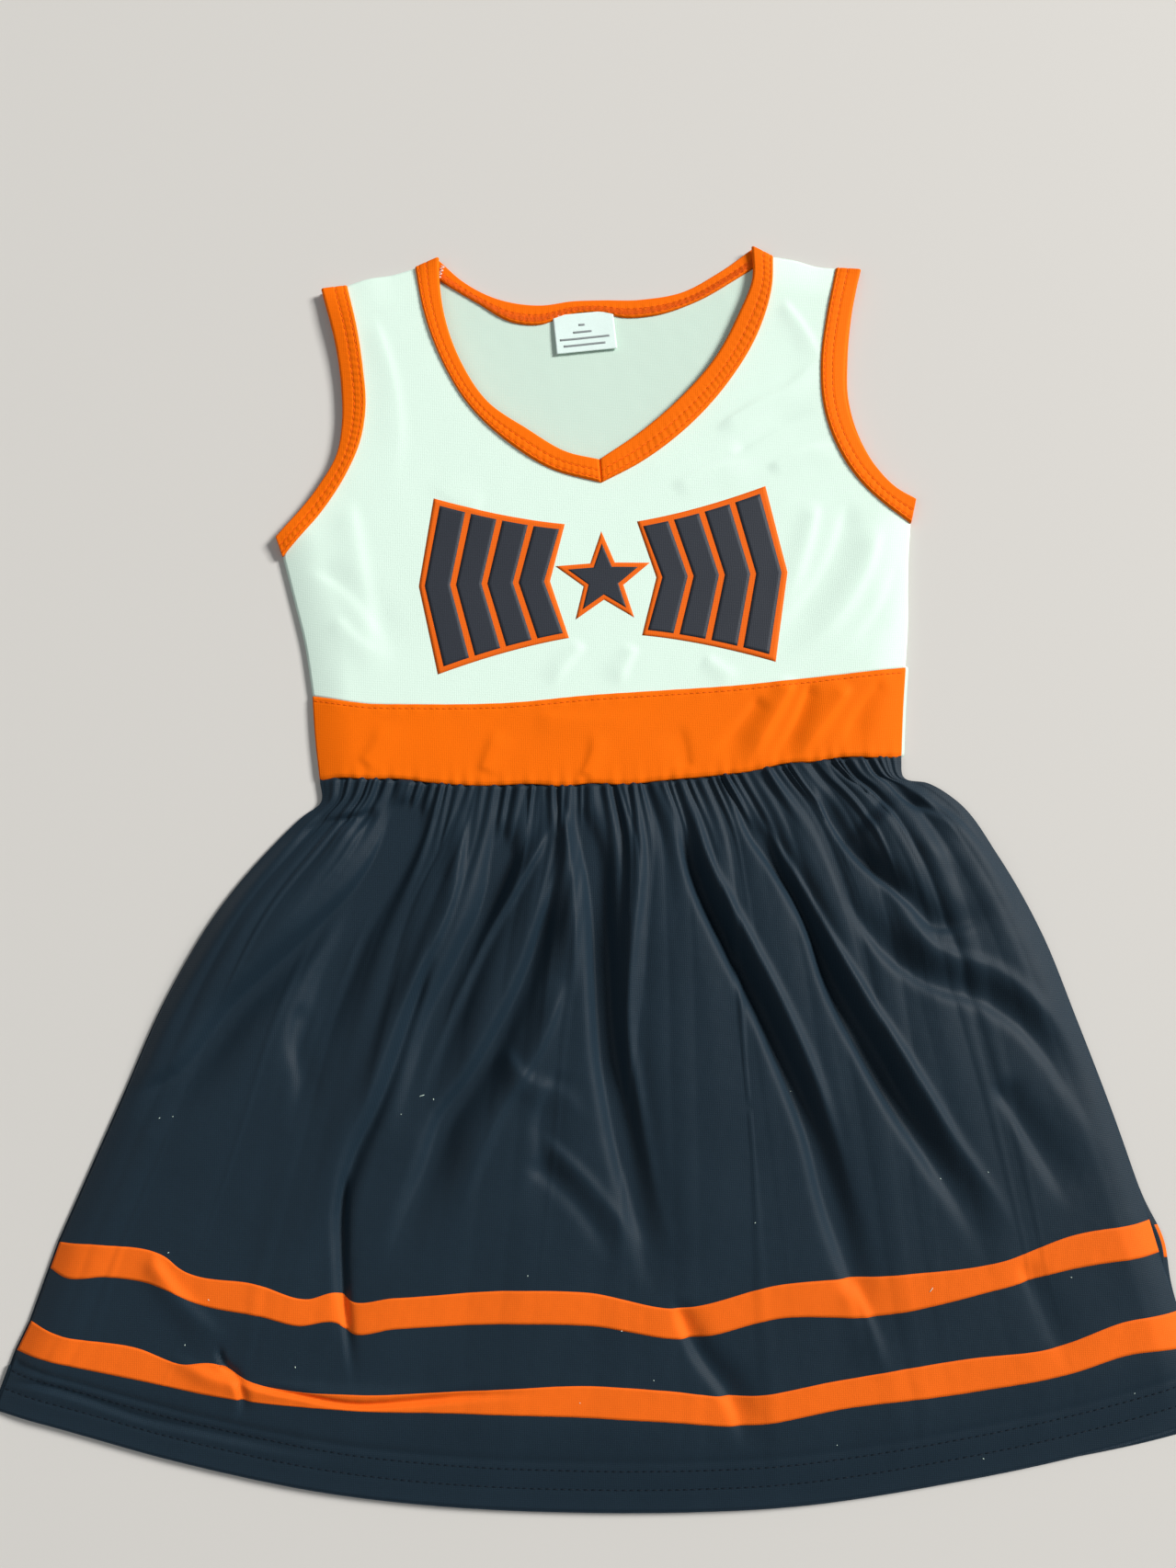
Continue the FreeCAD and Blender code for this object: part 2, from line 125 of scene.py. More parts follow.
# --- folds of the skirt: line, half width, and height, which is negative in a valley ---
FOLDS = [
    ([(-83, 28), (-87, 4), (-101, -16), (-124, -38), (-156, -66), (-183, -98), (-208, -111),
      (-214, -137)], 7.5, -7.5),
    ([(-78, 34), (-84, 11), (-96, -20), (-107, -39), (-116, -55), (-128, -88),
      (-134, -112)], 10.5, -10.5),
    ([(-99, 24), (-108, -2), (-126, -22), (-150, -46), (-178, -78)], 9.0, 3.2),
    ([(-77, 4), (-92, -16), (-101, -35), (-112, -60), (-122, -80)], 5.0, 2.6),
    ([(-128, -66), (-131, -84), (-128, -104), (-136, -122)], 5.0, -1.8),
    ([(-118, 22), (-135, 0), (-158, -28), (-184, -66), (-204, -105), (-222, -140)], 7.0, 1.8),
    ([(-92, 20), (-98, 17), (-115, 14), (-134, 7)], 3.5, -3.0),
    ([(-52, 20), (-57, -18), (-83, -73), (-96, -105), (-113, -139), (-117, -169)], 4.5, 3.8),
    ([(-66, -40), (-78, -73), (-94, -114), (-104, -133), (-111, -153), (-112, -192),
      (-112, -225)], 3.2, -4.0),
    ([(-35, 14), (-39, -12), (-44, -29), (-52, -45), (-63, -66), (-72, -86), (-79, -106),
      (-86, -134)], 9.0, -11.0),
    ([(-12, 12), (-17, 2), (-31, -21), (-44, -41), (-55, -62), (-66, -84), (-80, -120)], 4.5, 4.2),
    ([(-9, -10), (-18, -38), (-30, -67), (-41, -87), (-54, -107), (-65, -121), (-73, -141), (-84, -166),
      (-92, -190)], 6.0, -7.0),
    ([(-8, -60), (-22, -92), (-38, -115), (-52, -142), (-62, -170)], 5.0, 2.8),
    ([(-3, 22), (0, 12), (5, -14), (6, -35), (7, -77), (8, -97), (11, -118), (14, -138), (18, -158),
      (24, -188), (33, -208)], 7.0, -11.0),
    ([(-8, 20), (-4, -10), (-4, -45), (-6, -75)], 4.0, 3.2),
    ([(27, 24), (27, -14), (22, -45), (18, -80), (22, -120), (28, -160), (38, -195)], 5.5, 3.2),
    ([(-24, -128), (-6, -145), (6, -160), (17, -175), (27, -193)], 5.5, 1.8),
    ([(-30, -140), (-10, -156), (1, -170), (12, -188)], 6.5, -1.8),
    ([(-12, -100), (-22, -124), (-22, -143), (-34, -164)], 6.0, -1.8),
    ([(-38, -90), (-26, -106), (-12, -112), (-2, -126)], 6.0, 1.9),
    ([(46, 18), (49, -5), (54, -24), (62, -43), (79, -81), (91, -113), (97, -131), (105, -169),
      (114, -202), (122, -240)], 6.0, -8.5),
    ([(52, 22), (57, -5), (64, -24), (73, -43), (90, -81), (102, -113), (109, -140),
      (118, -178)], 5.0, 4.2),
    ([(72, 24), (77, 7), (87, -10), (97, -28), (104, -45), (110, -66), (126, -102), (146, -139),
      (164, -170), (176, -196)], 6.0, -9.0),
    ([(80, 14), (101, -26), (112, -49), (125, -73), (144, -107), (162, -140), (179, -168),
      (188, -190)], 4.6, 4.4),
    ([(110, 24), (118, 3), (126, -10), (137, -21), (148, -32), (161, -44), (172, -43), (183, -39),
      (193, -33)], 4.5, -5.0),
    ([(136, 12), (152, -6), (172, -22)], 15.0, 4.0),
    ([(141, 30), (151, 15), (169, 6), (176, -2)], 3.0, -3.2),
    ([(146, 30), (161, 14), (173, 3), (185, -12), (193, -27), (197, -46)], 3.6, 2.8),
    ([(118, -24), (137, -55), (157, -70), (178, -77), (194, -88), (220, -126), (236, -150)], 7.0, -4.0),
    ([(140, -34), (160, -55), (184, -64), (204, -82), (224, -112)], 6.0, 2.2),
    ([(180, -112), (199, -145), (214, -172)], 6.5, -2.8),
    ([(-110, -140), (-111.5, -168), (-111, -196), (-109, -214), (-106, -236)], 1.8, -3.0),
    ([(-166, -212), (-164, -220), (-157, -228), (-155, -238), (-156, -246)], 1.8, -2.2),
    ([(-160, -226), (-150, -230), (-133, -234.5), (-107, -240), (-82, -240), (-50, -238.5),
      (-20, -238)], 1.6, -2.4),
    ([(-190, -214), (-162, -228), (-130, -233), (-100, -236), (-50, -236)], 4.0, 1.6),
    ([(-268, -226), (-245, -227.5), (-229, -232), (-214, -237.5), (-199, -243), (-178, -248),
      (-140, -257), (-100, -264)], 2.2, -2.6),
    ([(34, -200), (42, -222), (58, -246), (64, -270)], 5.0, -3.0),
    ([(186, -190), (196, -215), (206, -240)], 6.0, -1.2),
    ([(110, -196), (118, -215), (124, -240)], 5.0, 1.8),
    ([(-196, -172), (-184, -190), (-160, -214)], 5.0, 2.0),
]
BACK_FOLDS = [
    ([(-60, 20), (-80, -60), (-104, -140), (-120, -200)], 7.0, 1.6),
    ([(0, 20), (-6, -70), (-20, -150), (-24, -210)], 6.0, 1.8),
    ([(60, 20), (78, -50), (96, -130), (110, -200)], 7.0, 1.6),
    ([(120, 20), (150, -50), (180, -120), (200, -180)], 8.0, 1.5),
    ([(-100, 20), (-140, -40), (-180, -110), (-206, -170)], 8.0, 1.5),
    ([(30, 10), (40, -60), (44, -120)], 5.0, 1.2),
    ([(-30, 10), (-48, -60), (-60, -110)], 5.0, 1.2),
]

# --- soft creases of the bodice's front and of its waistband, told in the same way ---
CREASES = [
    ([(-92, 262), (-84, 236), (-80, 205), (-84, 170)], 6, 0.4),
    ([(-104, 170), (-100, 140), (-96, 108), (-98, 82)], 7, 0.6),
    ([(-124, 138), (-104, 124), (-88, 104), (-80, 84)], 6, -0.5),
    ([(-112, 112), (-100, 98), (-84, 88)], 5, 0.4),
    ([(72, 196), (92, 208), (112, 218), (130, 236)], 4, 0.7),
    ([(80, 184), (100, 196), (122, 206)], 4, -0.6),
    ([(96, 176), (116, 184), (136, 186)], 4, 0.6),
    ([(108, 262), (118, 246), (126, 226)], 4, 0.5),
    ([(150, 148), (138, 120), (118, 96), (96, 84)], 6, 0.9),
    ([(158, 130), (148, 106), (130, 84)], 5, -0.8),
    ([(136, 160), (124, 128), (104, 100), (88, 84)], 6, -0.7),
    ([(120, 160), (110, 130), (98, 106)], 5, 0.7),
    ([(30, 92), (24, 82), (20, 72)], 4, 0.6),
    ([(6, 94), (-4, 84), (-12, 73)], 4, 0.6),
    ([(62, 86), (70, 79), (78, 73)], 4, 0.5),
    ([(-40, 160), (-52, 166), (-66, 178)], 6, 0.3),
    ([(50, 168), (70, 176), (96, 178)], 6, 0.5),
    ([(104, 74), (90, 52), (76, 30)], 5, 1.7),
    ([(112, 72), (102, 50), (90, 32)], 4, -1.4),
    ([(130, 70), (112, 48), (98, 32)], 5, 1.5),
    ([(88, 66), (76, 50), (64, 36)], 5, -1.0),
    ([(-44, 34), (-40, 44), (-34, 56)], 5, 0.7),
    ([(-20, 60), (10, 56), (40, 58)], 7, 0.5),
    ([(146, 72), (132, 54), (124, 36)], 5, -1.2),
    ([(-100, 40), (-92, 50), (-88, 62)], 6, 0.6),
    ([(2, 30), (8, 42), (10, 54)], 4, 0.7),
    ([(52, 32), (50, 44), (46, 56)], 5, -0.6),
]

# --- layers: heights above the surface that the dress lies on ---
CLOTH = 0.75
FILM = 0.1
BACK_Z = 0.35  # the outer face of the back
INSIDE_Z = BACK_Z + CLOTH + 0.1  # the lowest that anything inside the dress lies
CLOSED_Z = BACK_Z + 2 * CLOTH + 0.1  # the front's outer face where the two layers are sewn together
BODICE_RISE = 2.6  # how far the front stands above that, away from the seams
SKIRT_RISE = 2.2
VALLEY_FLOOR = 1.0  # no fold of the skirt's front dips below this, so that it stays clear of the back
VALLEY_SOFT = 0.7
BACK_LIMIT = 0.9  # the highest that the back's gathers stand, under the front
LEAN = 0.42  # how much longer one slope of a fold is than the mean, and how much shorter the other
PINCH = 17.0  # how far a pinched corner of the skirt pulls the cloth beside it
SEAM_ROUND = 18.0  # from a seam to where the front is at its full height
TUCK = 1.6  # how far one piece runs on under another
HEM_DEPTH = 19.0
HEM_ROWS = (9.0, 17.0)  # stitching, above the hem's edge
SEAM_ALLOWANCE = 6.0
STRIPE_PEEK_Y = -184.0  # where the back's upper stripe shows past the front's right edge
UNDER_BINDING = 0.12  # how far a panel runs on under a binding, as a share of the binding's width
BACK_PEEK = 1.6  # how far the back shows past the waistband's right end


# --- curves and surfaces ---
def run_of(line):
    """How far along a line each of its points is."""
    return np.r_[0, np.cumsum(np.linalg.norm(np.diff(line, axis=0), axis=1))]


def resampled(line, count):
    """count evenly spaced points along a line."""
    line = np.asarray(line, float)
    run = run_of(line)
    at = np.linspace(0, run[-1], count)
    return np.column_stack([np.interp(at, run, line[:, k]) for k in range(line.shape[1])])


def spline(points, count):
    """count points along a smooth curve through points."""
    p = np.array(points, float)
    d = run_of(p)
    slope = np.gradient(p, d, axis=0)
    t = np.linspace(0, d[-1], max(24 * len(p), count))
    i = np.clip(np.searchsorted(d, t, "right") - 1, 0, len(d) - 2)
    h = (d[i + 1] - d[i])[:, None]
    s = (t - d[i])[:, None] / h
    dense = (2 * s**3 - 3 * s**2 + 1) * p[i] + (s**3 - 2 * s**2 + s) * h * slope[i]
    dense += (3 * s**2 - 2 * s**3) * p[i + 1] + (s**3 - s**2) * h * slope[i + 1]
    return resampled(dense, count)


def joined(*lines):
    """Lines end to end, without the doubled points."""
    return np.vstack([lines[0], *[line[1:] for line in lines[1:]]])


def between(a, b, share):
    """The line that lies share of the way from line a to line b."""
    return a * (1 - share) + b * share


def patch(left, right, low, top):
    """A grid of points between four edges. Rows run from low to top, and columns from left to right."""
    v = np.linspace(0, 1, len(left))[:, None, None]
    u = np.linspace(0, 1, len(low))[None, :, None]
    sides = (1 - u) * left[:, None] + u * right[:, None]
    ends = (1 - v) * low[None] + v * top[None]
    corners = (1 - v) * ((1 - u) * low[0] + u * low[-1]) + v * ((1 - u) * top[0] + u * top[-1])
    return sides + ends - corners


def ruled(a, b, rows):
    """A grid whose first row is line a and whose last is line b."""
    share = np.linspace(0, 1, rows)[:, None, None]
    return a[None] * (1 - share) + b[None] * share


def smooth(x):
    """A soft step from 0 to 1 as x goes from 0 to 1."""
    x = np.clip(x, 0, 1)
    return x * x * (3 - 2 * x)


def bell(x):
    """A soft bump, 1 at zero."""
    return np.exp(-(x**2))


def line_distance(points, line):
    """Each point's distance from a line, how far along it is nearest (0 to 1), and its side (-1 or 1)."""
    flat = points.reshape(-1, 2)
    best = np.full(len(flat), 1e9)
    along = np.zeros(len(flat))
    side = np.ones(len(flat))
    steps = np.linalg.norm(np.diff(line, axis=0), axis=1)
    run = np.r_[0, np.cumsum(steps)]
    for i, length in enumerate(steps):
        d = (line[i + 1] - line[i]) / max(length, 1e-9)
        t = np.clip((flat - line[i]) @ d, 0, length)
        away = flat - line[i] - t[:, None] * d
        gap = np.linalg.norm(away, axis=1)
        nearer = gap < best
        best[nearer] = gap[nearer]
        along[nearer] = (run[i] + t[nearer]) / run[-1]
        side[nearer] = np.sign(d[0] * away[nearer, 1] - d[1] * away[nearer, 0])
    shape = points.shape[:-1]
    return best.reshape(shape), along.reshape(shape), side.reshape(shape)


def creased(points, folds, fade_in=0.16, fade_out=0.42):
    """The height that a list of folds adds at each point.

    A fold fades at its ends, widens along its line, and leans: one of its slopes is longer than the other."""
    height = np.zeros(points.shape[:-1])
    for line, width, rise in folds:
        line = spline(line, 4 * len(line))
        reach = 5 * width
        near = np.all((points > line.min(0) - reach) & (points < line.max(0) + reach), axis=-1)
        gap, along, side = line_distance(points[near], line)
        strength = smooth(along / fade_in) * smooth((1 - along) / fade_out)
        own_width = width * (0.7 + 0.6 * along) * (1 - LEAN * side * np.sign(rise))
        height[near] += rise * strength * bell(gap / own_width)
    return height


def wavy(points, scale, seed, turns=6):
    """Gentle irregular waves, from -1 to 1, with a usual wavelength of scale."""
    own = np.random.default_rng(seed)
    total = np.zeros(points.shape[:-1])
    for _ in range(turns):
        angle = own.uniform(0, math.tau)
        pitch = math.tau / (scale * own.uniform(0.7, 1.5))
        along = points[..., 0] * math.cos(angle) + points[..., 1] * math.sin(angle)
        total += np.sin(pitch * along + own.uniform(0, math.tau))
    return total / turns


def raised(points, height):
    """Points of a plan, each at its own height."""
    return np.concatenate([points, height[..., None]], axis=-1)


# --- meshes ---
def grid_faces(grid):
    """The four-sided faces of a grid whose points are numbered row by row."""
    rows, columns = grid.shape[:2]
    i = np.arange(rows - 1)[:, None] * columns + np.arange(columns - 1)
    return np.stack([i, i + 1, i + columns + 1, i + columns], axis=-1).reshape(-1, 4)


def surface(grid):
    """A grid's points and faces, facing up."""
    faces = grid_faces(grid)
    verts = grid.reshape(-1, 3)
    first, second = verts[faces[:, 2]] - verts[faces[:, 0]], verts[faces[:, 3]] - verts[faces[:, 1]]
    if np.cross(first[:, :2], second[:, :2]).sum() < 0:
        faces = faces[:, ::-1]
    return verts, faces


def welded(*parts):
    """Open surfaces made one, with the points that they share made one too."""
    verts = np.vstack([v for v, _ in parts])
    starts = np.cumsum([0] + [len(v) for v, _ in parts[:-1]])
    faces = np.vstack([f + start for (_, f), start in zip(parts, starts)])
    _, first, index = np.unique(np.round(verts, 4), axis=0, return_index=True, return_inverse=True)
    return verts[first], index.reshape(-1)[faces]


def vertex_normals(verts, faces):
    """The way that a surface faces at each of its points."""
    flat = np.cross(verts[faces[:, 2]] - verts[faces[:, 0]], verts[faces[:, 3]] - verts[faces[:, 1]])
    total = np.zeros_like(verts)
    for corner in faces.T:
        np.add.at(total, corner, flat)
    return total / np.maximum(np.linalg.norm(total, axis=1, keepdims=True), 1e-9)


def between_surfaces(top, low, faces):
    """A closed mesh from the points of its top and of its underside, walled round every open edge."""
    count = len(top)
    edges = np.stack([faces, np.roll(faces, -1, axis=1)], axis=-1).reshape(-1, 2)
    code = edges[:, 0] * count + edges[:, 1]
    reverse = edges[:, 1] * count + edges[:, 0]
    a, b = edges[~np.isin(code, reverse)].T
    walls = np.column_stack([b, a, a + count, b + count])
    return np.vstack([top, low]), np.vstack([faces, faces[:, ::-1] + count, walls]).tolist()


def cloth(part, thickness=CLOTH, lift=0.0, side=1):
    """A sheet whose outer face is the surface: its upper face if side is 1, and its lower if side is -1."""
    verts, faces = part
    normal = vertex_normals(verts, faces)
    outer = verts + side * lift * normal
    inner = outer - side * thickness * normal
    return between_surfaces(outer, inner, faces) if side > 0 else between_surfaces(inner, outer, faces)


def apart(parts):
    """Closed meshes put into one, without welding."""
    faces = []
    start = 0
    for verts, own_faces in parts:
        faces += [[i + start for i in face] for face in own_faces]
        start += len(verts)
    return np.vstack([verts for verts, _ in parts]), faces


def linked(name, data):
    """A new object in the scene."""
    obj = bpy.data.objects.new(name, data)
    bpy.context.scene.collection.objects.link(obj)
    return obj


def piece(name, part, material, body=None, nodes=()):
    """A closed mesh, on its body if it is given one, standing for its CAD nodes."""
    verts, faces = part
    mesh = bpy.data.meshes.new(name)
    mesh.from_pydata((verts * MM).tolist(), [], faces)
    mesh.validate()
    mesh.shade_smooth()
    mesh.materials.append(material)
    obj = linked(name, mesh)
    if body:
        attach(obj, body)
    if nodes:
        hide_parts(*nodes)
    return obj


def stitches(path, length=2.6, gap=0.7, radius=0.2, sides=6, out=1):
    """A row of short threads along a path, each a little sunk at its ends.

    out is 1 on cloth that faces up, and -1 on cloth that faces down."""
    run = run_of(path)
    starts = np.arange(gap, run[-1] - length, length + gap)
    stations = np.array([0.0, 0.1, 0.5, 0.9, 1.0])
    rises = np.array([-0.5, 0.1, 0.3, 0.1, -0.5]) * radius
    widths = np.array([0.45, 0.95, 1.0, 0.95, 0.45]) * radius
    at = starts[:, None] + stations * length
    centre = np.stack([np.interp(at, run, path[:, k]) for k in range(3)], axis=-1)
    centre[..., 2] += out * rises
    along = centre[:, -1] - centre[:, 0]
    across = np.cross(along, (0, 0, 1))
    across /= np.linalg.norm(across, axis=1, keepdims=True)
    angle = np.arange(sides) * math.tau / sides
    ring = np.cos(angle)[:, None] * across[:, None, None] + np.sin(angle)[:, None] * np.array([0, 0, 1.0])
    verts = centre[:, :, None] + widths[:, None, None] * ring
    per_thread = len(stations) * sides
    i, j = np.meshgrid(np.arange(len(stations) - 1), np.arange(sides), indexing="ij")
    after = (j + 1) % sides
    this, following = i * sides, (i + 1) * sides
    quads = np.stack([this + j, this + after, following + after, following + j], axis=-1)
    caps = [list(range(sides))[::-1], list(range(per_thread - sides, per_thread))]
    own = quads.reshape(-1, 4).tolist() + caps
    faces = [[k + per_thread * n for k in face] for n in range(len(starts)) for face in own]
    return verts.reshape(-1, 3), faces


def thread(start, end, share, **kind):
    """One thread that covers share of the way from start to end."""
    return stitches(np.array([start, end]), length=share * math.dist(start, end), **kind)


# --- heights of the bodice ---
SEWN_EDGES = [
    spline(SHOULDER_LEFT, 12),
    spline(SHOULDER_RIGHT, 12),
    joined(spline(BAND_END_LEFT, 12), spline(SIDE_LEFT, 16)),
    joined(spline(BAND_END_RIGHT, 12), spline(SIDE_RIGHT, 16)),
]


def front_z(points):
    """The bodice's front lies on the back along the shoulders and sides, and stands off it between them."""
    edge = np.full(points.shape[:-1], 1e9)
    for line in SEWN_EDGES:
        edge = np.minimum(edge, line_distance(points, line)[0])
    height = CLOSED_Z + BODICE_RISE * np.sqrt(smooth(edge / SEAM_ROUND))
    height += (creased(points, CREASES) + 0.12 * wavy(points, 55, 3)) * smooth(edge / 20)
    return height + 0.03 * wavy(points, 12, 4)


def back_z(points):
    """The back's outer face, on the surface that the dress lies on."""
    return BACK_Z + 0.15 * (1 + wavy(points, 70, 5)) + 0.04 * wavy(points, 12, 6)


def inside_z(points):
    """The back's inner face, which shows through the neck."""
    return back_z(points) + CLOTH


# --- materials ---
def band_scale(size):
    """The scale of a wave texture whose bands are size metres apart."""
    return math.tau / (20 * size)


def feed(tree, node, inputs):
    """Sets a node's inputs, each to a value or to the output of another node."""
    for key, value in inputs.items():
        if isinstance(value, bpy.types.NodeSocket):
            tree.links.new(value, node.inputs[key])
        else:
            node.inputs[key].default_value = value


def added(tree, kind, inputs, output, **settings):
    """The named output of a new node."""
    node = tree.nodes.new("ShaderNode" + kind)
    for key, value in settings.items():
        setattr(node, key, value)
    feed(tree, node, inputs)
    return node.outputs[output]


def jersey(
    name, colour, dark, roughness=0.75, sheen=0.2, tint=(1, 1, 1), *,
    specular=0.3, bump=0.3, rib=0.9, depth=0.2,
):
    """Knitted cloth: ribs and courses of stitches, loose fibres, a soft mottle and a little sheen."""
    m = bpy.data.materials.new(name)
    m.use_nodes = True
    tree = m.node_tree
    place = added(tree, "TexCoord", {}, "Object")
    mottle, fibre = [
        added(tree, "TexNoise", {"Vector": place, "Scale": scale, "Detail": detail}, "Fac")
        for scale, detail in ((34.0, 4.0), (1500.0, 2.0))
    ]
    wavering = {"Vector": place, "Distortion": 1.5, "Detail": 1.0, "Detail Scale": 1.0}
    ribs, courses = [
        added(tree, "TexWave", {**wavering, "Scale": band_scale(size * MM)}, "Fac", bands_direction=direction)
        for direction, size in (("X", rib), ("Y", rib * 0.8))
    ]
    knit = added(tree, "Math", {0: ribs, 1: courses, 2: fibre}, "Value", operation="MULTIPLY_ADD")
    colours = {"A": (*[c * dark for c in colour], 1), "B": (*colour, 1), "Factor": mottle}
    base = added(tree, "Mix", colours, "Result", data_type="RGBA")
    shades = {"Value": knit, "From Min": 0.3, "From Max": 1.5, "To Min": 1 - depth, "To Max": 1 + depth}
    shade = added(tree, "MapRange", shades, "Result")
    worn = {"Value": mottle, "To Min": roughness - 0.06, "To Max": roughness + 0.06}
    feed(tree, tree.nodes["Principled BSDF"], {
        "Base Color": added(tree, "VectorMath", {0: base, "Scale": shade}, "Vector", operation="SCALE"),
        "Roughness": added(tree, "MapRange", worn, "Result"),
        "Normal": added(tree, "Bump", {"Strength": bump, "Distance": 0.0002, "Height": knit}, "Normal"),
        "Specular IOR Level": specular,
        "Sheen Weight": sheen,
        "Sheen Roughness": 0.4,
        "Sheen Tint": (*tint, 1),
    })
    return m


BLUE_SHEEN = (0.45, 0.7, 1.0)
WHITE = jersey("white_jersey", (0.73, 0.90, 0.79), 0.97, 0.85, specular=0.2, bump=0.25, depth=0.03)
# The same white jersey painted darker and greener: painted shade for the back's inside and the seam
# allowances, which lie under the front layer.
WHITE_SHADED = jersey(
    "white_jersey_painted_shade", (0.61, 0.76, 0.66), 0.97, 0.9, specular=0.2, bump=0.15, depth=0.02,
)
ORANGE = jersey("orange_jersey", (0.93, 0.155, 0.001), 0.94, sheen=0.0, specular=0.08, depth=0.04)
ORANGE_PRINT = jersey(
    "orange_print", (0.86, 0.14, 0.008), 0.92, 0.7, 0.0, specular=0.1, bump=0.25, depth=0.08
)
NAVY = jersey("navy_jersey", (0.0095, 0.0225, 0.036), 0.8, 0.6, 0.1, BLUE_SHEEN, specular=0.17)
NAVY_PRINT = jersey("navy_print", (0.026, 0.031, 0.043), 0.88, 0.6, 0.1, bump=0.25)
ORANGE_THREAD = jersey("orange_thread", (0.92, 0.14, 0.002), 0.92, 0.6, 0.0, specular=0.15, rib=0.25)
NAVY_THREAD = jersey("navy_thread", (0.006, 0.012, 0.020), 0.8, 0.6, 0.0, specular=0.15, rib=0.25)
PALE_THREAD = jersey("pale_thread", (0.86, 0.62, 0.52), 0.85, 0.6, rib=0.25)
RIBBON = jersey("label_ribbon", (0.78, 0.93, 0.88), 0.97, 0.55, rib=0.35, depth=0.04)
RIBBON_INK = jersey("label_ink", (0.30, 0.34, 0.34), 0.8, 0.6, rib=0.35)


# --- bodice ---
def half_panel(outer, neck, low, shoulder, rows=(76, 104), columns=100):
    """Half of a bodice panel's plan, from its outer edge to the centre line and, above that, to the neck."""
    centre = resampled([low[-1], neck[0]], rows[0])
    inner = joined(centre, resampled(neck, rows[1]))
    return patch(resampled(outer, len(inner)), inner, resampled(low, columns), resampled(shoulder, columns))


def halves(line, x):
    """The parts of a line to the left and to the right of x, each from its outer end to x."""
    y = np.interp(x, line[:, 0], line[:, 1])
    left = np.vstack([line[line[:, 0] < x], [x, y]])
    right = np.vstack([[x, y], line[line[:, 0] > x]])
    return left, right[::-1]


def outer_edge(side, arm_seam, arm_edge, band_end=None):
    """From the bottom corner up the side and the armhole to the shoulder, a little way under the binding."""
    arm = between(spline(arm_seam, 100), spline(arm_edge, 100), UNDER_BINDING)
    parts = [spline(side, 60), arm]
    if band_end:
        parts.insert(0, spline(band_end, 30))
    return joined(*parts)


def bodice_front():
    """The front panel, down to the waistband."""
    low = halves(spline(BAND_TOP, 300) - (0, TUCK), CENTRE_X)
    sides = (
        (SIDE_LEFT, ARM_SEAM_LEFT, ARM_EDGE_LEFT, NECK_SEAM_LEFT, NECK_EDGE_LEFT, SHOULDER_LEFT),
        (SIDE_RIGHT, ARM_SEAM_RIGHT, ARM_EDGE_RIGHT, NECK_SEAM_RIGHT, NECK_EDGE_RIGHT, SHOULDER_RIGHT),
    )
    parts = []
    for (side, arm_seam, arm_edge, seam, edge, shoulder), own_low in zip(sides, low):
        neck = between(spline(seam, 200), spline(edge, 200), UNDER_BINDING)
        neck[0, 0] = CENTRE_X
        plan = half_panel(outer_edge(side, arm_seam, arm_edge), neck, own_low, spline(shoulder, 40))
        parts.append(surface(raised(plan, front_z(plan))))
    return piece("bodice_front_cloth", cloth(welded(*parts)), WHITE, "bodice", ["bodice_front"])


def bodice_back():
    """The back panel runs from the neck to the waist, and shows a little past the waistband's right end."""
    low = halves(spline(WAIST, 300) + (0, 0.4), CENTRE_X)
    necks = halves(between(spline(BACK_SEAM, 300), spline(BACK_EDGE, 300), UNDER_BINDING), CENTRE_X)
    band_right = [(x + BACK_PEEK, y) for x, y in BAND_END_RIGHT]
    sides = (
        (outer_edge(SIDE_LEFT, ARM_SEAM_LEFT, ARM_EDGE_LEFT, BAND_END_LEFT), SHOULDER_LEFT),
        (outer_edge(SIDE_RIGHT, ARM_SEAM_RIGHT, ARM_EDGE_RIGHT, band_right), SHOULDER_RIGHT),
    )
    parts = []
    for (outer, shoulder), own_low, neck in zip(sides, low, necks):
        plan = half_panel(outer, neck[::-1], own_low, spline(shoulder, 40), rows=(90, 70), columns=80)
        parts.append(surface(raised(plan, back_z(plan))))
    return piece("bodice_back_cloth", cloth(welded(*parts), side=-1), WHITE_SHADED, "bodice", ["bodice_back"])


BAND_ROW = 0.945  # where the waistband's stitching runs, as a share of its height


def waistband():
    """The orange band across the front, which overlaps the bodice and hangs over the gathers."""
    rows, columns = 52, 340
    low = spline(WAIST, columns)
    top = spline(BAND_TOP, columns)
    plan = patch(spline(BAND_END_LEFT, rows), spline(BAND_END_RIGHT, rows), low, top)
    v = np.linspace(0, 1, rows)[:, None]
    x = plan[..., 0]
    plan[..., 1] += (1 - smooth(v / 0.2)) * 0.55 * np.sin(x / 6.5 + 1.3 * np.sin(x / 17))
    puckers = 0.2 * np.exp(-v / 0.09) * (np.sin(x / 1.35 + 2 * np.sin(x / 9)) + 0.6 * np.sin(x / 0.9 + 1))
    top_puckers = 0.12 * bell((1 - v) / 0.1) * np.sin(x / 1.7 + 2 * np.sin(x / 13))
    bottom_roll = -0.8 * (1 - smooth(v / 0.05))
    top_step = -0.35 * smooth((v - 0.97) / 0.03)
    stitch_groove = -0.2 * bell((v - BAND_ROW) / 0.012)
    height = front_z(plan) + 0.55 + puckers + top_puckers + bottom_roll + top_step + stitch_groove
    grid = raised(plan, height)
    band = piece("waistband_cloth", cloth(surface(grid)), ORANGE, "bodice", ["waistband_front"])
    row = stitches(row_at(grid, BAND_ROW), length=2.2)
    return band, piece("waistband_threads", row, ORANGE_THREAD, "bodice", ["waistband_stitching"])


def row_at(grid, share):
    """The line across a grid that lies share of the way from its first row to its last."""
    at = share * (len(grid) - 1)
    i = min(int(at), len(grid) - 2)
    return grid[i] * (1 - at + i) + grid[i + 1] * (at - i)


# --- bindings ---
THREAD_ROWS = (0.53, 0.85)  # of a binding's width, from its folded edge


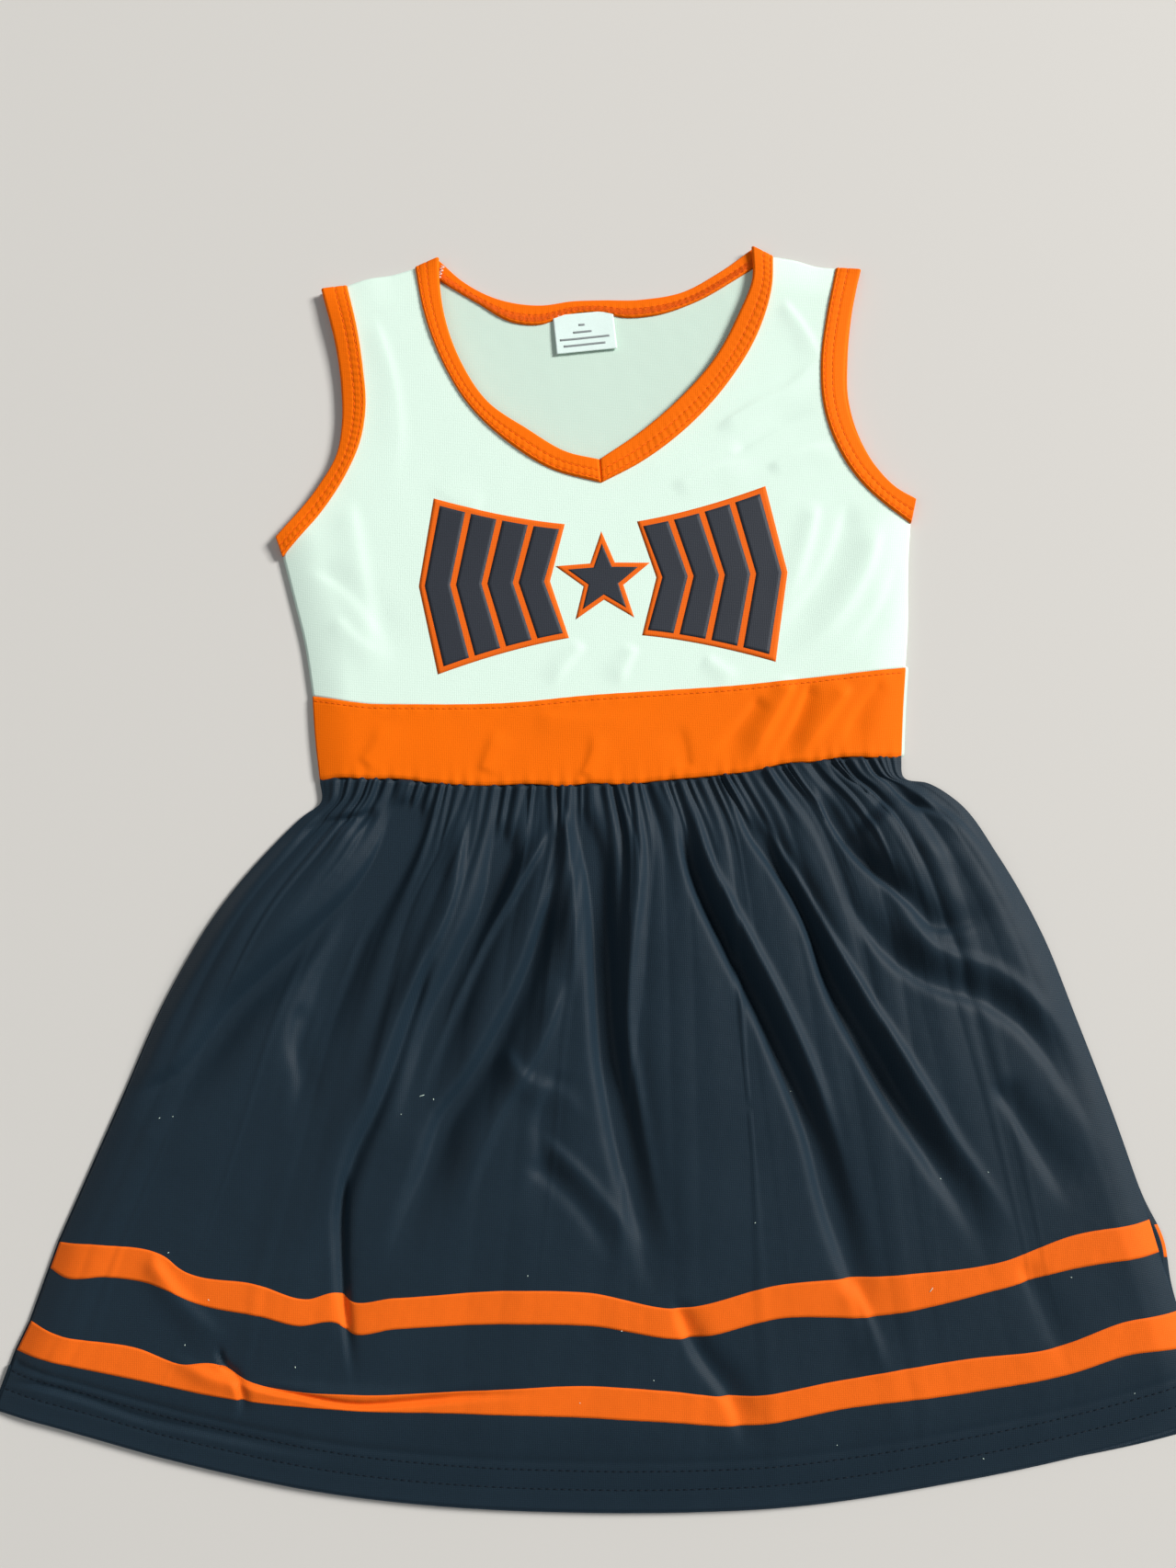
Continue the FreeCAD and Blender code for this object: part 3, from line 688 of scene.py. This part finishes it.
def binding(edge, seam, z_edge, z_seam, thickness=1.6, ripple=0.1, groove=0.3, mitre=False, rows=30):
    """A folded strip of cloth between its rolled edge and its seam: its upper grid and its closed mesh."""
    plan = ruled(edge, seam, rows)
    w = np.linspace(0, 1, rows)[:, None]
    run = run_of(edge)
    roll = np.sqrt(np.clip(1 - (1 - np.clip(w / 0.12, 0, 1)) ** 2, 0, 1))
    step = 1 - 0.5 * np.sqrt(np.clip((w - 0.94) / 0.06, 0, 1))
    grooves = sum(bell((w - at) / 0.035) for at in THREAD_ROWS)
    puckers = ripple * np.sin(run * 1.9 + 3 * np.sin(run / 11)) * bell((w - 0.7) / 0.3)
    swell = 0.12 * np.sin(run / 7 + 2 * np.sin(run / 23))
    crown = thickness * roll * step - groove * grooves + puckers + swell
    if mitre:
        crown = crown * (0.45 + 0.55 * np.sqrt(np.clip(run / 1.3, 0, 1)))
    base = z_edge * (1 - w) + z_seam * w
    top = raised(plan, base + np.maximum(crown, 0.15))
    low = raised(plan, base)
    verts, faces = surface(top)
    return top, between_surfaces(verts, low.reshape(-1, 3), faces)


def binding_rows(top, **kind):
    """The rows of stitching along a binding."""
    return [stitches(row_at(top, at), **kind) for at in THREAD_ROWS]


def neck_binding_front():
    """Two strips that meet in a mitre at the point of the neck."""
    made = []
    threads = []
    for side, edge, seam in (
        ("left", NECK_EDGE_LEFT, NECK_SEAM_LEFT),
        ("right", NECK_EDGE_RIGHT, NECK_SEAM_RIGHT),
    ):
        edge, seam = spline(edge, 260), spline(seam, 260)
        z_edge = np.maximum(front_z(edge) - 0.7, inside_z(edge) + 0.2)
        top, part = binding(edge, seam, z_edge, front_z(seam) - 0.2, mitre=True)
        node = f"neck_binding_front_{side}"
        made.append(piece(f"{node}_roll", part, ORANGE, "bodice", [node]))
        threads += binding_rows(top)
    rows = piece("neck_threads_front", apart(threads), ORANGE_THREAD, "bodice", ["neck_stitching_front"])
    return [*made, rows]


LADDER = (0.50, 0.93)  # the edges of the ladder of loops on the back binding, as shares of its width
LADDER_LOOPS = 300
LADDER_ENDS = 3  # loops left out at each end


def neck_binding_back():
    """The strip round the back of the neck, seen from inside, where its thread makes a ladder of loops."""
    edge, seam = spline(BACK_EDGE, 260), spline(BACK_SEAM, 260)
    z_edge, z_seam = inside_z(edge) - 0.7, inside_z(seam) - 0.1
    top, part = binding(edge, seam, z_edge, z_seam, thickness=1.4, ripple=0.12, groove=0.08)
    strip = piece("neck_binding_back_roll", part, ORANGE, "bodice", ["neck_binding_back"])
    rails = resampled(np.column_stack([row_at(top, at) for at in LADDER]), LADDER_LOOPS)
    kept = slice(LADDER_ENDS, -LADDER_ENDS)
    ladder = []
    for lean in (-1, 0):
        far = np.roll(rails[:, 3:], lean, axis=0)
        for a, b in zip(rails[kept, :3], far[kept]):
            ladder.append(thread(a, b, 0.92, gap=0.02, radius=0.13, sides=5))
    ladder += binding_rows(top, length=2.2)
    threads = piece("neck_threads_back", apart(ladder), ORANGE_THREAD, "bodice", ["neck_stitching_back"])
    return [strip, threads]


def armhole_bindings():
    """A front strip and a back strip round each armhole. On the right the back one shows past the front."""
    made = []
    for side, edge, seam, peek in (
        ("left", ARM_EDGE_LEFT, ARM_SEAM_LEFT, (0.6, -0.4)),
        ("right", ARM_EDGE_RIGHT, ARM_SEAM_RIGHT, (1.7, 0.6)),
    ):
        edge, seam = spline(edge, 260), spline(seam, 260)
        along = np.sin(np.pi * np.linspace(0, 1, 260))
        z_edge = np.maximum(inside_z(edge) + 0.7, front_z(edge) - 1.3 - 0.8 * along)
        top, front = binding(edge, seam, z_edge, front_z(seam) - 0.2)
        away = along[:, None] * np.array(peek)
        z_back = back_z(edge) - 0.2
        _, back = binding(edge + away, seam + away, z_back, z_back, thickness=1.3)
        node = f"armhole_binding_{side}"
        made.append(piece(f"{node}_roll", apart([front, back]), ORANGE, "bodice", [node]))
        rows = apart(binding_rows(top))
        stitching = f"armhole_stitching_{side}"
        made.append(piece(f"armhole_threads_{side}", rows, ORANGE_THREAD, "bodice", [stitching]))
    return made


# --- seams inside the dress ---
SCALLOP_PITCH = 2.2  # from one loop of the overlocking to the next


def allowance(line, inward, depth=SEAM_ALLOWANCE, start=1.2, z=INSIDE_Z):
    """An overlocked seam allowance: a narrow strip that lies inside the dress beside a seam."""
    inward = np.asarray(inward, float)
    loops = np.sin(run_of(line) * math.tau / SCALLOP_PITCH)
    plan = ruled(line + inward * start, line + inward * depth, 7)
    plan[-1] += inward * (0.3 * loops)[:, None]
    height = z + 0.75 + 0.1 * loops[None] * np.linspace(0, 1, 7)[:, None]
    return cloth(surface(raised(plan, height)), thickness=0.7)


def bodice_seams():
    """The seam of the waistband's bottom edge, and then the seams that the back panel carries."""
    made = []
    for side, shoulder, edge, inward in (
        ("left", SHOULDER_LEFT, joined(spline(BAND_END_LEFT, 60), spline(SIDE_LEFT, 80)), 1),
        ("right", SHOULDER_RIGHT, joined(spline(BAND_END_RIGHT, 60), spline(SIDE_RIGHT, 80)), -1),
    ):
        for node, part in (
            (f"shoulder_seam_{side}", allowance(spline(shoulder, 60), (0, -1), start=1.0)),
            (f"bodice_side_seam_{side}", allowance(edge, (inward, 0))),
        ):
            made.append(piece(f"{node}_overlock", part, WHITE_SHADED, "bodice", [node]))
    inner = spline(WAIST, 300)[14:-14]
    front = allowance(inner, (0, 1), z=INSIDE_Z + 0.9)
    front = piece("waist_seam_front_overlock", front, ORANGE, "bodice", ["waist_seam_front"])
    back = allowance(inner, (0, 1))
    made.append(piece("waist_seam_back_overlock", back, WHITE_SHADED, "bodice", ["waist_seam_back"]))
    return front, made


LOOSE_END = ((-59.2, 279.6), (-56.8, 286.4))
LOOSE_END_TURNS = 9


def overlock_end():
    """The loose end of the left shoulder's overlocking, a zigzag that shows inside the neck."""
    low, high = np.array(LOOSE_END)
    points = low + (high - low) * np.linspace(0, 1, LOOSE_END_TURNS)[:, None]
    points[:, 0] += np.where(np.arange(LOOSE_END_TURNS) % 2, 1.6, -0.6)
    path = raised(points, inside_z(points) + 1.9)
    parts = [thread(a, b, 0.98, gap=0.01, radius=0.3) for a, b in zip(path, path[1:])]
    return piece("shoulder_overlock_end", apart(parts), PALE_THREAD, "bodice")


# --- skirt ---
HEM_GRID_ROWS = 32  # from the lower stripe to the hem's edge
HEM_CLOTH = 0.55  # the thickness of the turned-up layer, which is pressed
PEEK_COLUMNS = 4  # of the back's upper stripe that show, turned up, past the front's right edge
SKIRT_PUFF = 7.4  # how far the front puffs up below its waist, before it sinks again towards the hem

# Sets of gathers: how many, the seed of their draws, how far down they reach, their height and sharpness.
FRONT_GATHERS = (
    (60, 11, 30, 2.2, 2.0), (33, 12, 62, 2.2, 1.4), (17, 14, 130, 2.0, 1.0), (29, 15, 210, 0.9, 1.0),
)
BACK_GATHERS = ((44, 21, 34, 1.4, 1.0), (24, 23, 120, 1.2, 1.0))


def skirt_plan(columns, rows):
    """A skirt panel's plan, with grid rows on both edges of each stripe, and the numbers of those rows."""
    waist = spline(WAIST, columns) + (0, TUCK)
    below = spline(UPPER_STRIPE_TOP, columns)
    parts = [pinched(waist, below, rows)]
    marks = [rows - 1]
    for curve, count in (
        (UPPER_STRIPE_LOW, 12),
        (LOWER_STRIPE_TOP, 18),
        (LOWER_STRIPE_LOW, 12),
        (HEM, HEM_GRID_ROWS),
    ):
        above, below = below, spline(curve, columns)
        parts.append(ruled(above, below, count)[1:])
        marks.append(marks[-1] + count - 1)
    return np.concatenate(parts), marks


def pinched(waist, below, rows):
    """The gathered part's plan. It fans out from the waist, and its corners are pinched in."""
    wide = []
    narrow = []
    for outline, end in ((SKIRT_LEFT, waist[0]), (SKIRT_RIGHT, waist[-1])):
        wide.append(resampled(joined([end], spline([outline[0], *outline[3:]], 200)), rows))
        narrow.append(resampled(joined([end], spline(outline, 200)), rows))
    plan = patch(*wide, waist, below)
    for column, line, fan in ((0, narrow[0], wide[0]), (-1, narrow[1], wide[1])):
        gap = np.linalg.norm(plan - plan[:, column][:, None], axis=2)
        plan += (line - fan)[:, None] * np.exp(-gap / PINCH)[..., None]
    return plan


def run_down(plan):
    """How far each row is below the waist."""
    return np.r_[0, np.cumsum(np.linalg.norm(np.diff(plan, axis=0), axis=2).mean(1))][:, None]


def pleats(plan, count, seed, reach, rise, sharp):
    """Rounded ridges between sharp valleys, which start at the waist and open out and fade further down."""
    own = np.random.default_rng(seed)
    down = run_down(plan)[:, 0]
    steps = np.cumsum(own.uniform(0.5, 1.5, count + 1))
    places = (steps - steps[0]) / (steps[-1] - steps[0])
    drift = own.normal(0, 0.35 / count, count + 1)
    drift[[0, -1]] = 0
    strength = own.uniform(0.35, 1.0, count)
    length = reach * own.uniform(0.4, 1.5, count)
    u = np.linspace(0, 1, plan.shape[1])
    height = np.zeros(plan.shape[:2])
    for i, below in enumerate(down):
        moved = np.sort(places + drift * min(below / reach, 2.0))
        phase = np.interp(u, moved, np.arange(count + 1))
        ridge = np.clip(phase - 0.5, 0, count - 1)
        size = np.interp(ridge, np.arange(count), strength)
        fade = np.exp(-((below / np.interp(ridge, np.arange(count), length)) ** 1.5))
        height[i] = rise * size * fade * (np.abs(np.sin(np.pi * phase)) ** sharp - 0.5)
    return height


def side_distance(plan):
    """How far each point is from the nearer side seam."""
    return np.minimum(*[line_distance(plan, plan[::4, column])[0] for column in (0, -1)])


def hem_shape():
    """How much of its height the cloth keeps, row by row from the lower stripe down to the hem's edge."""
    return 1 - 0.7 * smooth(np.linspace(0, 1, HEM_GRID_ROWS))[:, None]


def skirt_front_grid():
    """The front's outer face: it puffs out from the waist, and carries gathers, folds and loose waves."""
    plan, marks = skirt_plan(460, 180)
    down = run_down(plan)
    edge = side_distance(plan)
    round_off = np.sqrt(smooth(edge / SEAM_ROUND))
    puff = SKIRT_RISE + SKIRT_PUFF * smooth(down / 80) * (1 - 0.6 * smooth(down / 290))
    gathers = sum(pleats(plan, *kind) for kind in FRONT_GATHERS)
    folds = creased(plan, FOLDS) * smooth((down - 4) / 16)
    loose = 0.6 * wavy(plan, 60, 8) * smooth(down / 60) + 0.12 * wavy(plan, 15, 9) + 0.05 * wavy(plan, 6, 10)
    height = puff + gathers + folds + loose
    height = VALLEY_FLOOR + VALLEY_SOFT * np.logaddexp(0, (height - VALLEY_FLOOR) / VALLEY_SOFT)
    tucked = 0.25 + 0.75 * smooth(down / (TUCK + 0.8))
    height *= round_off * tucked
    height[-HEM_GRID_ROWS:] *= hem_shape()
    grid = raised(plan, CLOSED_Z + height)
    near = slice(marks[2], None)
    for above, width, depth in ((HEM_DEPTH + 1.5, 1.6, 0.8), *[(row, 0.9, 0.22) for row in HEM_ROWS]):
        line = above_edge(grid, above)[::3, :2]
        gap, along, _ = line_distance(plan[near], line)
        groove = depth * bell(gap / width) * (0.55 + 0.9 * bell(along / 0.3))
        grid[near, :, 2] -= np.minimum(groove, 0.7 * height[near])
    return grid, marks


def skirt_back_grid():
    """The back's outer face, nearly flat under the front, and a little wider and longer on the right."""
    plan, marks = skirt_plan(260, 120)
    down = run_down(plan)
    across = np.linspace(-1, 1, plan.shape[1])[None]
    plan[..., 0] += 1.2 * smooth(down / 200) * across**5
    plan[..., 0] += 3.4 * bell((plan[..., 1] - STRIPE_PEEK_Y) / 14) * np.maximum(across, 0) ** 5
    plan[..., 1] -= 2.5 * smooth((down - 100) / 150) * smooth(across * 3 - 2)
    height = sum(pleats(plan, *kind) for kind in BACK_GATHERS) + creased(plan, BACK_FOLDS)
    height = BACK_LIMIT * np.tanh(np.maximum(height + 0.3 * (1 + wavy(plan, 60, 22)), 0) / BACK_LIMIT)
    height *= smooth(side_distance(plan) / SEAM_ROUND) * smooth(down / 5)
    height[-HEM_GRID_ROWS:] *= hem_shape()
    return raised(plan, BACK_Z + height), marks


def turned_hem(grid, side):
    """The turned-up hem: a lip round the panel's bottom edge, and a second layer inside it."""
    lip = CLOTH + 0.05
    edge = grid[-1]
    away = edge[:, :2] - grid[-3][:, :2]
    away /= np.linalg.norm(away, axis=1, keepdims=True)
    rows = []
    for angle in np.radians(np.linspace(90, -90, 9)):
        place = edge[:, :2] + away * lip * math.cos(angle)
        rows.append(raised(place, edge[:, 2] + side * lip * (math.sin(angle) - 1)))
    for above in np.linspace(1.5, HEM_DEPTH, 10):
        row = above_edge(grid, above)
        rows.append(row - np.array([0, 0, side * 2 * lip]))
    return np.array(rows)


def above_edge(grid, distance):
    """The line across a panel that lies distance above its bottom edge, which is below the lower stripe."""
    last = grid[-HEM_GRID_ROWS:]
    length = np.linalg.norm(np.diff(last[..., :2], axis=0), axis=2)[::-1]
    run = np.vstack([np.zeros(length.shape[1]), np.cumsum(length, axis=0)])
    points = last[::-1]
    columns = range(points.shape[1])
    return np.array([[np.interp(distance, run[:, c], points[:, c, k]) for k in range(3)] for c in columns])


def hem_ring(rows, side):
    """The hem's closed mesh from its profile rows, with its thickness inwards."""
    across = np.gradient(rows, axis=1)
    along = np.gradient(rows, axis=0)
    normal = np.cross(along, across) * side
    normal /= np.maximum(np.linalg.norm(normal, axis=2, keepdims=True), 1e-9)
    inner = rows - normal * HEM_CLOTH
    faces = grid_faces(rows)
    if side > 0:
        faces = faces[:, ::-1]
    return between_surfaces(rows.reshape(-1, 3), inner.reshape(-1, 3), faces)


def blended_at_waist(part):
    """The part's placement, baked into its mesh; it is put on neither body."""
    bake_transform(part)
    return part


def skirt():
    """Both panels with their stripes, hems and side seams: each panel, its grid, and what is sewn to it."""
    made = {}
    for side, (grid, marks), out in (("front", skirt_front_grid(), 1), ("back", skirt_back_grid(), -1)):
        panel = piece(f"skirt_{side}_cloth", cloth(surface(grid), side=out), NAVY, nodes=[f"skirt_{side}"])
        blended_at_waist(panel)
        sewn = []
        for stripe, first, last in (("upper", *marks[:2]), ("lower", *marks[2:4])):
            node = f"{stripe}_stripe_{side}"
            rows = grid[first:last + 1]
            part = cloth(surface(rows), thickness=FILM, lift=FILM * 0.6, side=out)
            if node == "upper_stripe_back":
                turned = rows[:, -PEEK_COLUMNS:] + (0, 0, CLOTH)
                part = apart([part, cloth(surface(turned), thickness=FILM, lift=FILM * 0.6)])
            sewn.append(piece(f"{node}_print", part, ORANGE_PRINT, "skirt", [node]))
        hem = hem_ring(turned_hem(grid, out), out)
        sewn.append(piece(f"hem_{side}_fold", hem, NAVY, "skirt", [f"hem_{side}"]))
        lines = [above_edge(grid, above) for above in HEM_ROWS]
        threads = apart([stitches(line, length=2.3, gap=1.0, radius=0.24, out=out) for line in lines])
        sewn.append(piece(f"hem_threads_{side}", threads, NAVY_THREAD, "skirt", [f"hem_stitching_{side}"]))
        made[side] = (panel, grid, sewn)
    grid, sewn = made["back"][1:]
    for side, column, inward in (("left", 0, 1), ("right", -1, -1)):
        line = resampled(grid[:, column, :2], 300)[12:-26]
        node = f"skirt_side_seam_{side}"
        seam = piece(f"{node}_overlock", allowance(line, (inward, 0), start=1.8), NAVY, nodes=[node])
        sewn.append(blended_at_waist(seam))
    return made


FIBRES = 22
LONG_FIBRE_EVERY = 11


def lint(grid):
    """A few pale fibres caught on the skirt."""
    own = np.random.default_rng(31)
    rows = own.integers(110, len(grid) - 4, FIBRES)
    columns = own.integers(20, grid.shape[1] - 20, FIBRES)
    parts = []
    for i, (row, column) in enumerate(zip(rows, columns)):
        place = grid[row, column] + (0, 0, 0.1)
        length = 2.4 if i % LONG_FIBRE_EVERY == 0 else own.uniform(0.35, 0.8)
        turn = own.uniform(0, math.tau)
        path = np.array([place, place + length * np.array([math.cos(turn), math.sin(turn), 0])])
        parts.append(stitches(path, length=0.96 * length, gap=0.01 * length, radius=0.14))
    return piece("lint_fibres", apart(parts), WHITE, "skirt")


# --- chest emblem ---
EMBLEM_Y = 124.5
EMBLEM_X = 16.0
HALF_HEIGHTS = (23.5, 39.0)  # at the centre and at the ends
HALF_WIDTH = 76.0
KEYLINE = 2.8
FIRST_CHEVRON = 20.0
CHEVRON_PITCH = 14.8
CHEVRONS = 4
CHEVRON_WIDTH = 12.0
CHEVRON_POINT = 8.0
STAR_RADIUS = 17.5
STAR_GROUND = 23.5
STAR_INNER = 0.42


def chevron(start, end, grow, side, cell=1.6):
    """The plan of a bar that points away from the centre, grow larger all round."""
    start, end = start - grow, end + grow
    x = np.linspace(start, end, max(2, round((end - start) / cell)))[None]
    t = np.linspace(-1, 1, 47)[:, None]
    tall = HALF_HEIGHTS[0] + (HALF_HEIGHTS[1] - HALF_HEIGHTS[0]) * (np.abs(x) / HALF_WIDTH) ** 1.6 + grow
    return np.stack([EMBLEM_X + side * (x + CHEVRON_POINT * (1 - np.abs(t))), EMBLEM_Y + t * tall], axis=-1)


def star(radius, cells=9):
    """The plans of a star's five points, each a kite with a corner at the centre."""
    def corner(i):
        """The star's corner i, counted to the left from its top, where every other one is an inner one."""
        reach = radius * (1 if i % 2 == 0 else STAR_INNER)
        turn = math.pi / 2 + i * math.pi / 5
        return np.array([EMBLEM_X + reach * math.cos(turn), EMBLEM_Y + reach * math.sin(turn)])
    centre = np.array([EMBLEM_X, EMBLEM_Y])
    kites = []
    for i in range(0, 10, 2):
        before, tip, after = corner(i - 1), corner(i), corner(i + 1)
        kites.append(ruled(resampled([centre, before], cells), resampled([after, tip], cells), cells))
    return kites


def emblem():
    """Chevrons and a star, printed in navy on an orange ground that shows round them as a line."""
    made = []
    starts = [FIRST_CHEVRON + i * CHEVRON_PITCH for i in range(CHEVRONS)]
    ends = [start + CHEVRON_WIDTH for start in starts]
    ground = [chevron(starts[0], ends[-1], KEYLINE, side) for side in (-1, 1)]
    bars = [chevron(start, end, 0.0, side) for start, end in zip(starts, ends) for side in (-1, 1)]
    for name, groups, lift, material in (
        ("emblem_ground", [*[[shape] for shape in ground], star(STAR_GROUND)], 0.08, ORANGE_PRINT),
        ("emblem_chevrons", [[bar] for bar in bars], 0.15, NAVY_PRINT),
        ("emblem_star", [star(STAR_RADIUS)], 0.15, NAVY_PRINT),
    ):
        shapes = [welded(*[surface(raised(plan, front_z(plan))) for plan in group]) for group in groups]
        part = apart([cloth(shape, thickness=FILM, lift=lift) for shape in shapes])
        made.append(piece(f"{name}_print", part, material, "bodice", [name]))
    return made


# --- size label ---
LABEL_TILT = math.radians(3.8)
LABEL_CORNER = (-3.4, 258.6)
LABEL_WIDTH = 29.6
LABEL_LENGTH = 20.0
LABEL_LEAF = 0.32  # the ribbon's thickness
LABEL_FOLD = 0.34  # radius of its fold
LABEL_COLUMNS = 40
LABEL_LEAF_ROWS = 24
LABEL_BARS = ((5.5, 0.43, 0.53), (9.2, 0.33, 0.63), (12.6, 0.08, 0.9), (16.0, 0.14, 0.84))  # place, ends


def leaf_height(down):
    """How far the ribbon's upper leaf lifts, down from the seam: most of all at its fold and its corners."""
    u = np.linspace(0, 1, LABEL_COLUMNS)
    lift = 0.9 * smooth(down / LABEL_LENGTH) * (0.55 + 0.6 * (u - 0.6) ** 2)
    return lift + 0.12 * np.sin(u * 5 + down / 4)


def label():
    """A woven ribbon folded in two under the back binding, with plain bars where a real one has its words."""
    straight = LABEL_LENGTH - LABEL_FOLD
    rows = [(down, 2 * LABEL_FOLD, leaf_height(down)) for down in np.linspace(0, straight, LABEL_LEAF_ROWS)]
    for angle in np.radians(np.linspace(75, -75, 7)):
        down = straight + LABEL_FOLD * math.cos(angle)
        rows.append((down, LABEL_FOLD + LABEL_FOLD * math.sin(angle), leaf_height(LABEL_LENGTH)))
    rows += [(down, 0.0, 0.75 * leaf_height(down)) for down in np.linspace(straight, 1.0, 20)]
    across = np.array([math.cos(LABEL_TILT), math.sin(LABEL_TILT)])
    along = np.array([math.sin(LABEL_TILT), -math.cos(LABEL_TILT)])
    from_left = across * LABEL_WIDTH * np.linspace(0, 1, LABEL_COLUMNS)[:, None]
    grid = []
    for down, stack, lift in rows:
        plan = np.array(LABEL_CORNER) + from_left + along * down
        grid.append(raised(plan, inside_z(plan) + 0.35 + stack + lift))
    grid = np.array(grid)
    tag = piece("size_label_ribbon", sided(grid, LABEL_LEAF), RIBBON, nodes=["size_label"])
    leaf = grid[:LABEL_LEAF_ROWS]
    last = LABEL_COLUMNS - 1
    ink = []
    for place, start, end in LABEL_BARS:
        bar = np.array([row_at(leaf, (place + row) / straight) for row in (0, 0.5, 1.1)])
        ink.append(cloth(surface(bar[:, int(start * last):int(end * last) + 1]), thickness=0.06, lift=0.05))
    bars = piece("size_label_bars", apart(ink), RIBBON_INK)
    for part in (tag, bars):
        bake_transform(part)
    return tag, bars


def sided(grid, thickness):
    """A closed ribbon from the grid of its outer face, which may turn back under itself."""
    normal = np.cross(np.gradient(grid, axis=1), -np.gradient(grid, axis=0))
    normal /= np.linalg.norm(normal, axis=2, keepdims=True)
    outer = grid.reshape(-1, 3)
    return between_surfaces(outer, outer - thickness * normal.reshape(-1, 3), grid_faces(grid)[:, ::-1])


# --- stage, camera and light ---
FLOOR_COLOUR = (0.62, 0.60, 0.57, 1)
SKY_COLOUR = (0.95, 0.98, 1.0, 1)
CAMERA_PLACE = (0.0025, -0.039, 0.545)
CAMERA_TILT = math.radians(7.0)
CAMERA_ROLL = math.radians(-2.2)


def stage():
    """A plain pale floor, just under the dress."""
    bpy.ops.mesh.primitive_plane_add(size=60, location=(0, 0, -0.0002))
    floor = bpy.context.object
    m = bpy.data.materials.new("floor")
    m.use_nodes = True
    feed(m.node_tree, m.node_tree.nodes["Principled BSDF"], {"Base Color": FLOOR_COLOUR, "Roughness": 0.9})
    floor.data.materials.append(m)


def area_light(name, place, size, power, colour):
    """A square light that faces the dress's middle."""
    data = bpy.data.lights.new(name, "AREA")
    data.energy = power
    data.size = size
    data.color = colour
    light = linked(name, data)
    light.location = place
    light.rotation_euler = (-Vector(place)).to_track_quat("-Z", "Y").to_euler()


def camera():
    """A camera held over the dress, tilted a little towards its neck and turned a little clockwise."""
    data = bpy.data.cameras.new("camera")
    data.lens = 27
    data.sensor_width = 36
    cam = linked("camera", data)
    roll = Matrix.Rotation(CAMERA_ROLL, 3, "Z")
    forward = roll @ Vector((0, math.sin(CAMERA_TILT), -math.cos(CAMERA_TILT)))
    up = roll @ Vector((0, math.cos(CAMERA_TILT), math.sin(CAMERA_TILT)))
    pose = Matrix((forward.cross(up), up, -forward)).transposed().to_4x4()
    pose.translation = Vector(CAMERA_PLACE)
    cam.matrix_world = pose
    bpy.context.scene.camera = cam


def lights():
    """A key light from the upper right, a faint fill from the left, and a dim pale sky."""
    area_light("key", (6.8, 3.0, 4.6), 2.4, 1190, (1, 0.99, 0.97))
    area_light("fill", (-1.6, -0.3, 1.8), 1.6, 9, (0.94, 0.98, 1))
    world = bpy.data.worlds.new("world")
    bpy.context.scene.world = world
    world.use_nodes = True
    feed(world.node_tree, world.node_tree.nodes["Background"], {"Color": SKY_COLOUR, "Strength": 0.19})
    bpy.context.scene.view_settings.view_transform = "Standard"


camera()
stage()
lights()
front = bodice_front()
back = bodice_back()
band, band_threads = waistband()
neck_front = neck_binding_front()
neck_back = neck_binding_back()
armholes = armhole_bindings()
band_seam, seams = bodice_seams()
loose_end = overlock_end()
panels = skirt()
panels["front"][2].append(lint(panels["front"][1]))
print_pieces = emblem()
tag, tag_bars = label()
